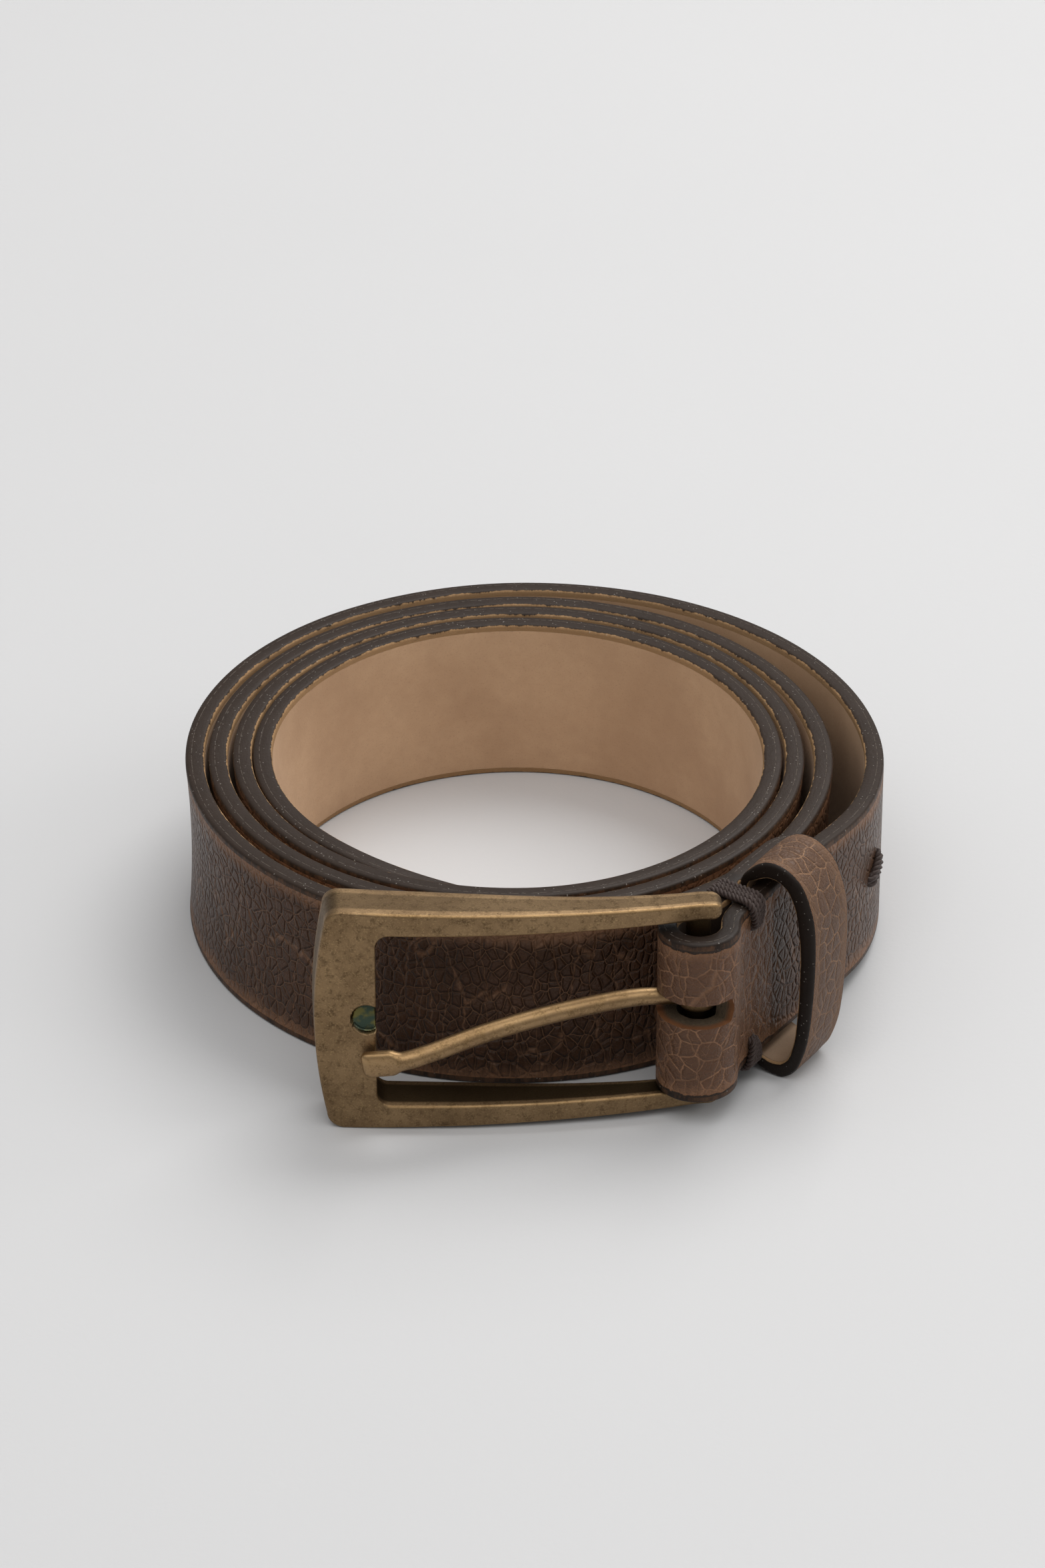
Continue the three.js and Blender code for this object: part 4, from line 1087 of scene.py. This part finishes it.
def antique_brass(name, light, dull=0.42):
    """Brass that is dark in its grain and bright where it is rubbed, with painted highlights on edges
    that face the light and painted shade on faces turned from it.
    """
    m = Shader(name)
    at = m.millimetres()
    wear = m.attr("wear")
    pit = m.attr("pit")
    big = m.noise(at, 0.11, 5.0, 0.62)
    mid = m.noise(at, 0.7, 5.0, 0.68)
    fine = m.noise(at, 3.2, 4.0, 0.75)
    low, high = ([c * light for c in colour] for colour in ((118, 96, 70), (140, 116, 86)))
    base = m.mix(m.ramp(big, 0.3, 0.7), rgb(*low), rgb(*high))
    dark = m.ramp(m.add(m.mul(mid, 0.55), m.mul(fine, 0.45)), 0.48, 0.64)
    base = m.mix(m.mul(dark, 0.6), base, rgb(78, 62, 44))
    # painted glints: fine bright specks as painted highlight on the brass
    glint = m.ramp(fine, 0.36, 0.44, 1.0, 0.0)
    base = m.mix(m.mul(glint, 0.5), base, rgb(176, 150, 108))
    # rubbed brass, with painted highlights on the edges that face the light
    wear_and_highlight = m.add(wear, m.swing(mid, 0.8))
    bright = m.mul(m.ramp(wear_and_highlight, 0.5, 1.0), 0.2)
    base = m.mix(bright, base, rgb(190, 152, 98))
    # painted shade: dark brass on the window's insides, the bar, the outside faces and the prong's
    # underside
    base = m.mix(m.ramp(wear, -0.5, -0.1, 0.85, 0.0), base, rgb(50, 40, 26))
    tint = m.mix(m.ramp(m.noise(at, 0.5, 2.0), 0.4, 0.6), rgb(58, 70, 60), rgb(98, 94, 56))
    base = m.mix(pit, base, tint)
    rough = m.add(m.mul(dark, 0.12), dull)
    rough = m.add(rough, m.mul(mid, 0.10))
    rough = m.less(rough, m.mul(bright, 0.10))
    rough = m.less(rough, m.mul(pit, 0.36), clamp=True)
    h = m.add(m.mul(mid, 0.7), m.mul(fine, 0.5))
    return m.finish(base, rough, m.bump(h, 0.4, 0.00010), metallic=1.0)


def waxed_thread(name):
    m = Shader(name)
    at = m.millimetres()
    fibre = m.noise(m.scaled(at, 1.0, 1.0, 0.6), 5.0, 3.0, 0.7)
    body = m.mix(fibre, rgb(32, 21, 17), rgb(66, 46, 38))
    return m.finish(body, 0.52, m.bump(fibre, 0.7, 0.00012), specular=0.4, sheen=0.08)


GRAIN = grain_leather("strap_grain", base=rgb(76, 53, 39), fold=rgb(106, 77, 59),
                      line=rgb(140, 104, 78), margin=rgb(128, 94, 70), gloss=0.24, long_lines=1.0)
EDGE = edge_paint("painted_edge")
INSIDE = lining_leather("tan_lining")
RAW = raw_leather("raw_slot")
K_GRAIN = grain_leather("keeper_grain", base=rgb(84, 62, 48), fold=rgb(94, 70, 55),
                        line=rgb(146, 112, 84), margin=rgb(114, 87, 67), gloss=0.34, cover=0.0)
K_EDGE = edge_paint("keeper_edge", seam=False, dim=0.5, fibre=0.25)
BRASS = antique_brass("brass_frame", 1.06)
# the prong's brass is a brighter copy of the frame's: painted light on the prong
BRASS_PRONG = antique_brass("brass_prong", 1.2, 0.38)
THREAD = waxed_thread("dark_thread")

# ---- The object ----
give(build_strap([GRAIN, EDGE, INSIDE, RAW]), "strap", "grain_leather", "strap_face", "strap_lining")
give(build_frame(BRASS), "buckle", "antique_brass", "buckle_frame")
give(build_prong(BRASS_PRONG), "prong", "antique_brass", "prong")
give(build_keeper([K_GRAIN, K_EDGE, INSIDE]), "keeper", "keeper_leather", "keeper_loop")
for i in range(WRAP_COUNT):
    for edge, word in ((1, "top"), (-1, "bottom")):
        o = strand(f"wrap_{word}_{i + 1}", wrap_line(i, edge), THREAD, phase=1.3 * i)
        give(o, "strap", "waxed_thread", f"thread_wrap_{word}_{i + 1}")
for i in range(STITCH_COUNT):
    o = strand(f"stitch_{i + 1}", stitch_line(i), THREAD, ply=0.4, pitch=2.9, phase=0.9 * i)
    give(o, "strap", "waxed_thread", f"rear_stitch_{i + 1}")


# ---- Floor, light and camera ----
def build_floor():
    """A sheet that lies flat and rises in a wide curve behind, so that no horizon shows."""
    rows = [(-3.0, 0.0), (1.6, 0.0)]
    for k in range(1, 17):
        a = math.radians(90 * k / 16)
        rows.append((1.6 + 1.2 * math.sin(a), 1.2 * (1 - math.cos(a))))
    rows.append((2.8, 3.4))
    verts = []
    for y, z in rows:
        verts += [(-4.0, y, z), (4.0, y, z)]
    faces = [(2 * i, 2 * i + 1, 2 * i + 3, 2 * i + 2) for i in range(len(rows) - 1)]
    m = Shader("pale_floor")
    at = m.node("ShaderNodeTexCoord", out="Object")
    tone = m.noise(at, 4.0, 3.0)
    grit = m.noise(at, 900.0, 2.0)
    body = m.mix(tone, rgb(198, 198, 199), rgb(203, 203, 204))
    mat = m.finish(body, 0.6, m.bump(grit, 0.15, 0.0002), specular=0.3)
    o = mesh_object("floor", verts, faces, None, [mat], closed=False)


build_floor()


def link(name, data, place, target):
    """A light or camera at a place, turned towards a target."""
    o = bpy.data.objects.new(name, data)
    bpy.context.scene.collection.objects.link(o)
    o.location = place
    o.rotation_mode = "QUATERNION"
    o.rotation_quaternion = (Vector(target) - Vector(place)).to_track_quat("-Z", "Y")
    return o


def area(name, place, target, size, power, colour):
    light = bpy.data.lights.new(name, "AREA")
    light.energy = power
    light.color = colour
    light.size = size
    link(name, light, place, target)


area("key", (0.45, 0.75, 1.2), (0, 0, 0.0), size=1.0, power=13.5, colour=(1.0, 0.99, 0.975))
area("fill", (-0.1, -0.7, 1.7), (0, 0, 0.0), size=1.3, power=7.0, colour=(1.0, 1.0, 1.0))
area("side", (1.1, 0.05, 0.5), (0, 0, 0.03), size=0.7, power=3.0, colour=(1.0, 0.995, 0.985))


def build_room():
    """Soft light from above that fades towards the horizon."""
    world = bpy.data.worlds.new("soft_room")
    world.use_nodes = True
    tree = world.node_tree
    coord = tree.nodes.new("ShaderNodeTexCoord")
    split = tree.nodes.new("ShaderNodeSeparateXYZ")
    grade = tree.nodes.new("ShaderNodeMapRange")
    grade.interpolation_type = "SMOOTHSTEP"
    for k, v in (("From Min", 0.05), ("From Max", 0.8), ("To Min", 0.14), ("To Max", 0.78)):
        grade.inputs[k].default_value = v
    shade = tree.nodes["Background"]
    shade.inputs[0].default_value = (1.0, 0.995, 0.985, 1)
    tree.links.new(coord.outputs["Generated"], split.inputs[0])
    tree.links.new(split.outputs["Z"], grade.inputs["Value"])
    tree.links.new(grade.outputs[0], shade.inputs[1])
    bpy.context.scene.world = world


build_room()

camera_data = bpy.data.cameras.new("camera")
camera_data.sensor_fit = "AUTO"
camera_data.sensor_width = 36
camera_data.lens = 140.1
camera_data.clip_start, camera_data.clip_end = 0.05, 30
camera = link("camera", camera_data, (-0.001978, -0.883495, 0.547915), (-0.001978, 0.02121, 0.015))
bpy.context.scene.camera = camera
bpy.context.scene.view_settings.view_transform = "Standard"
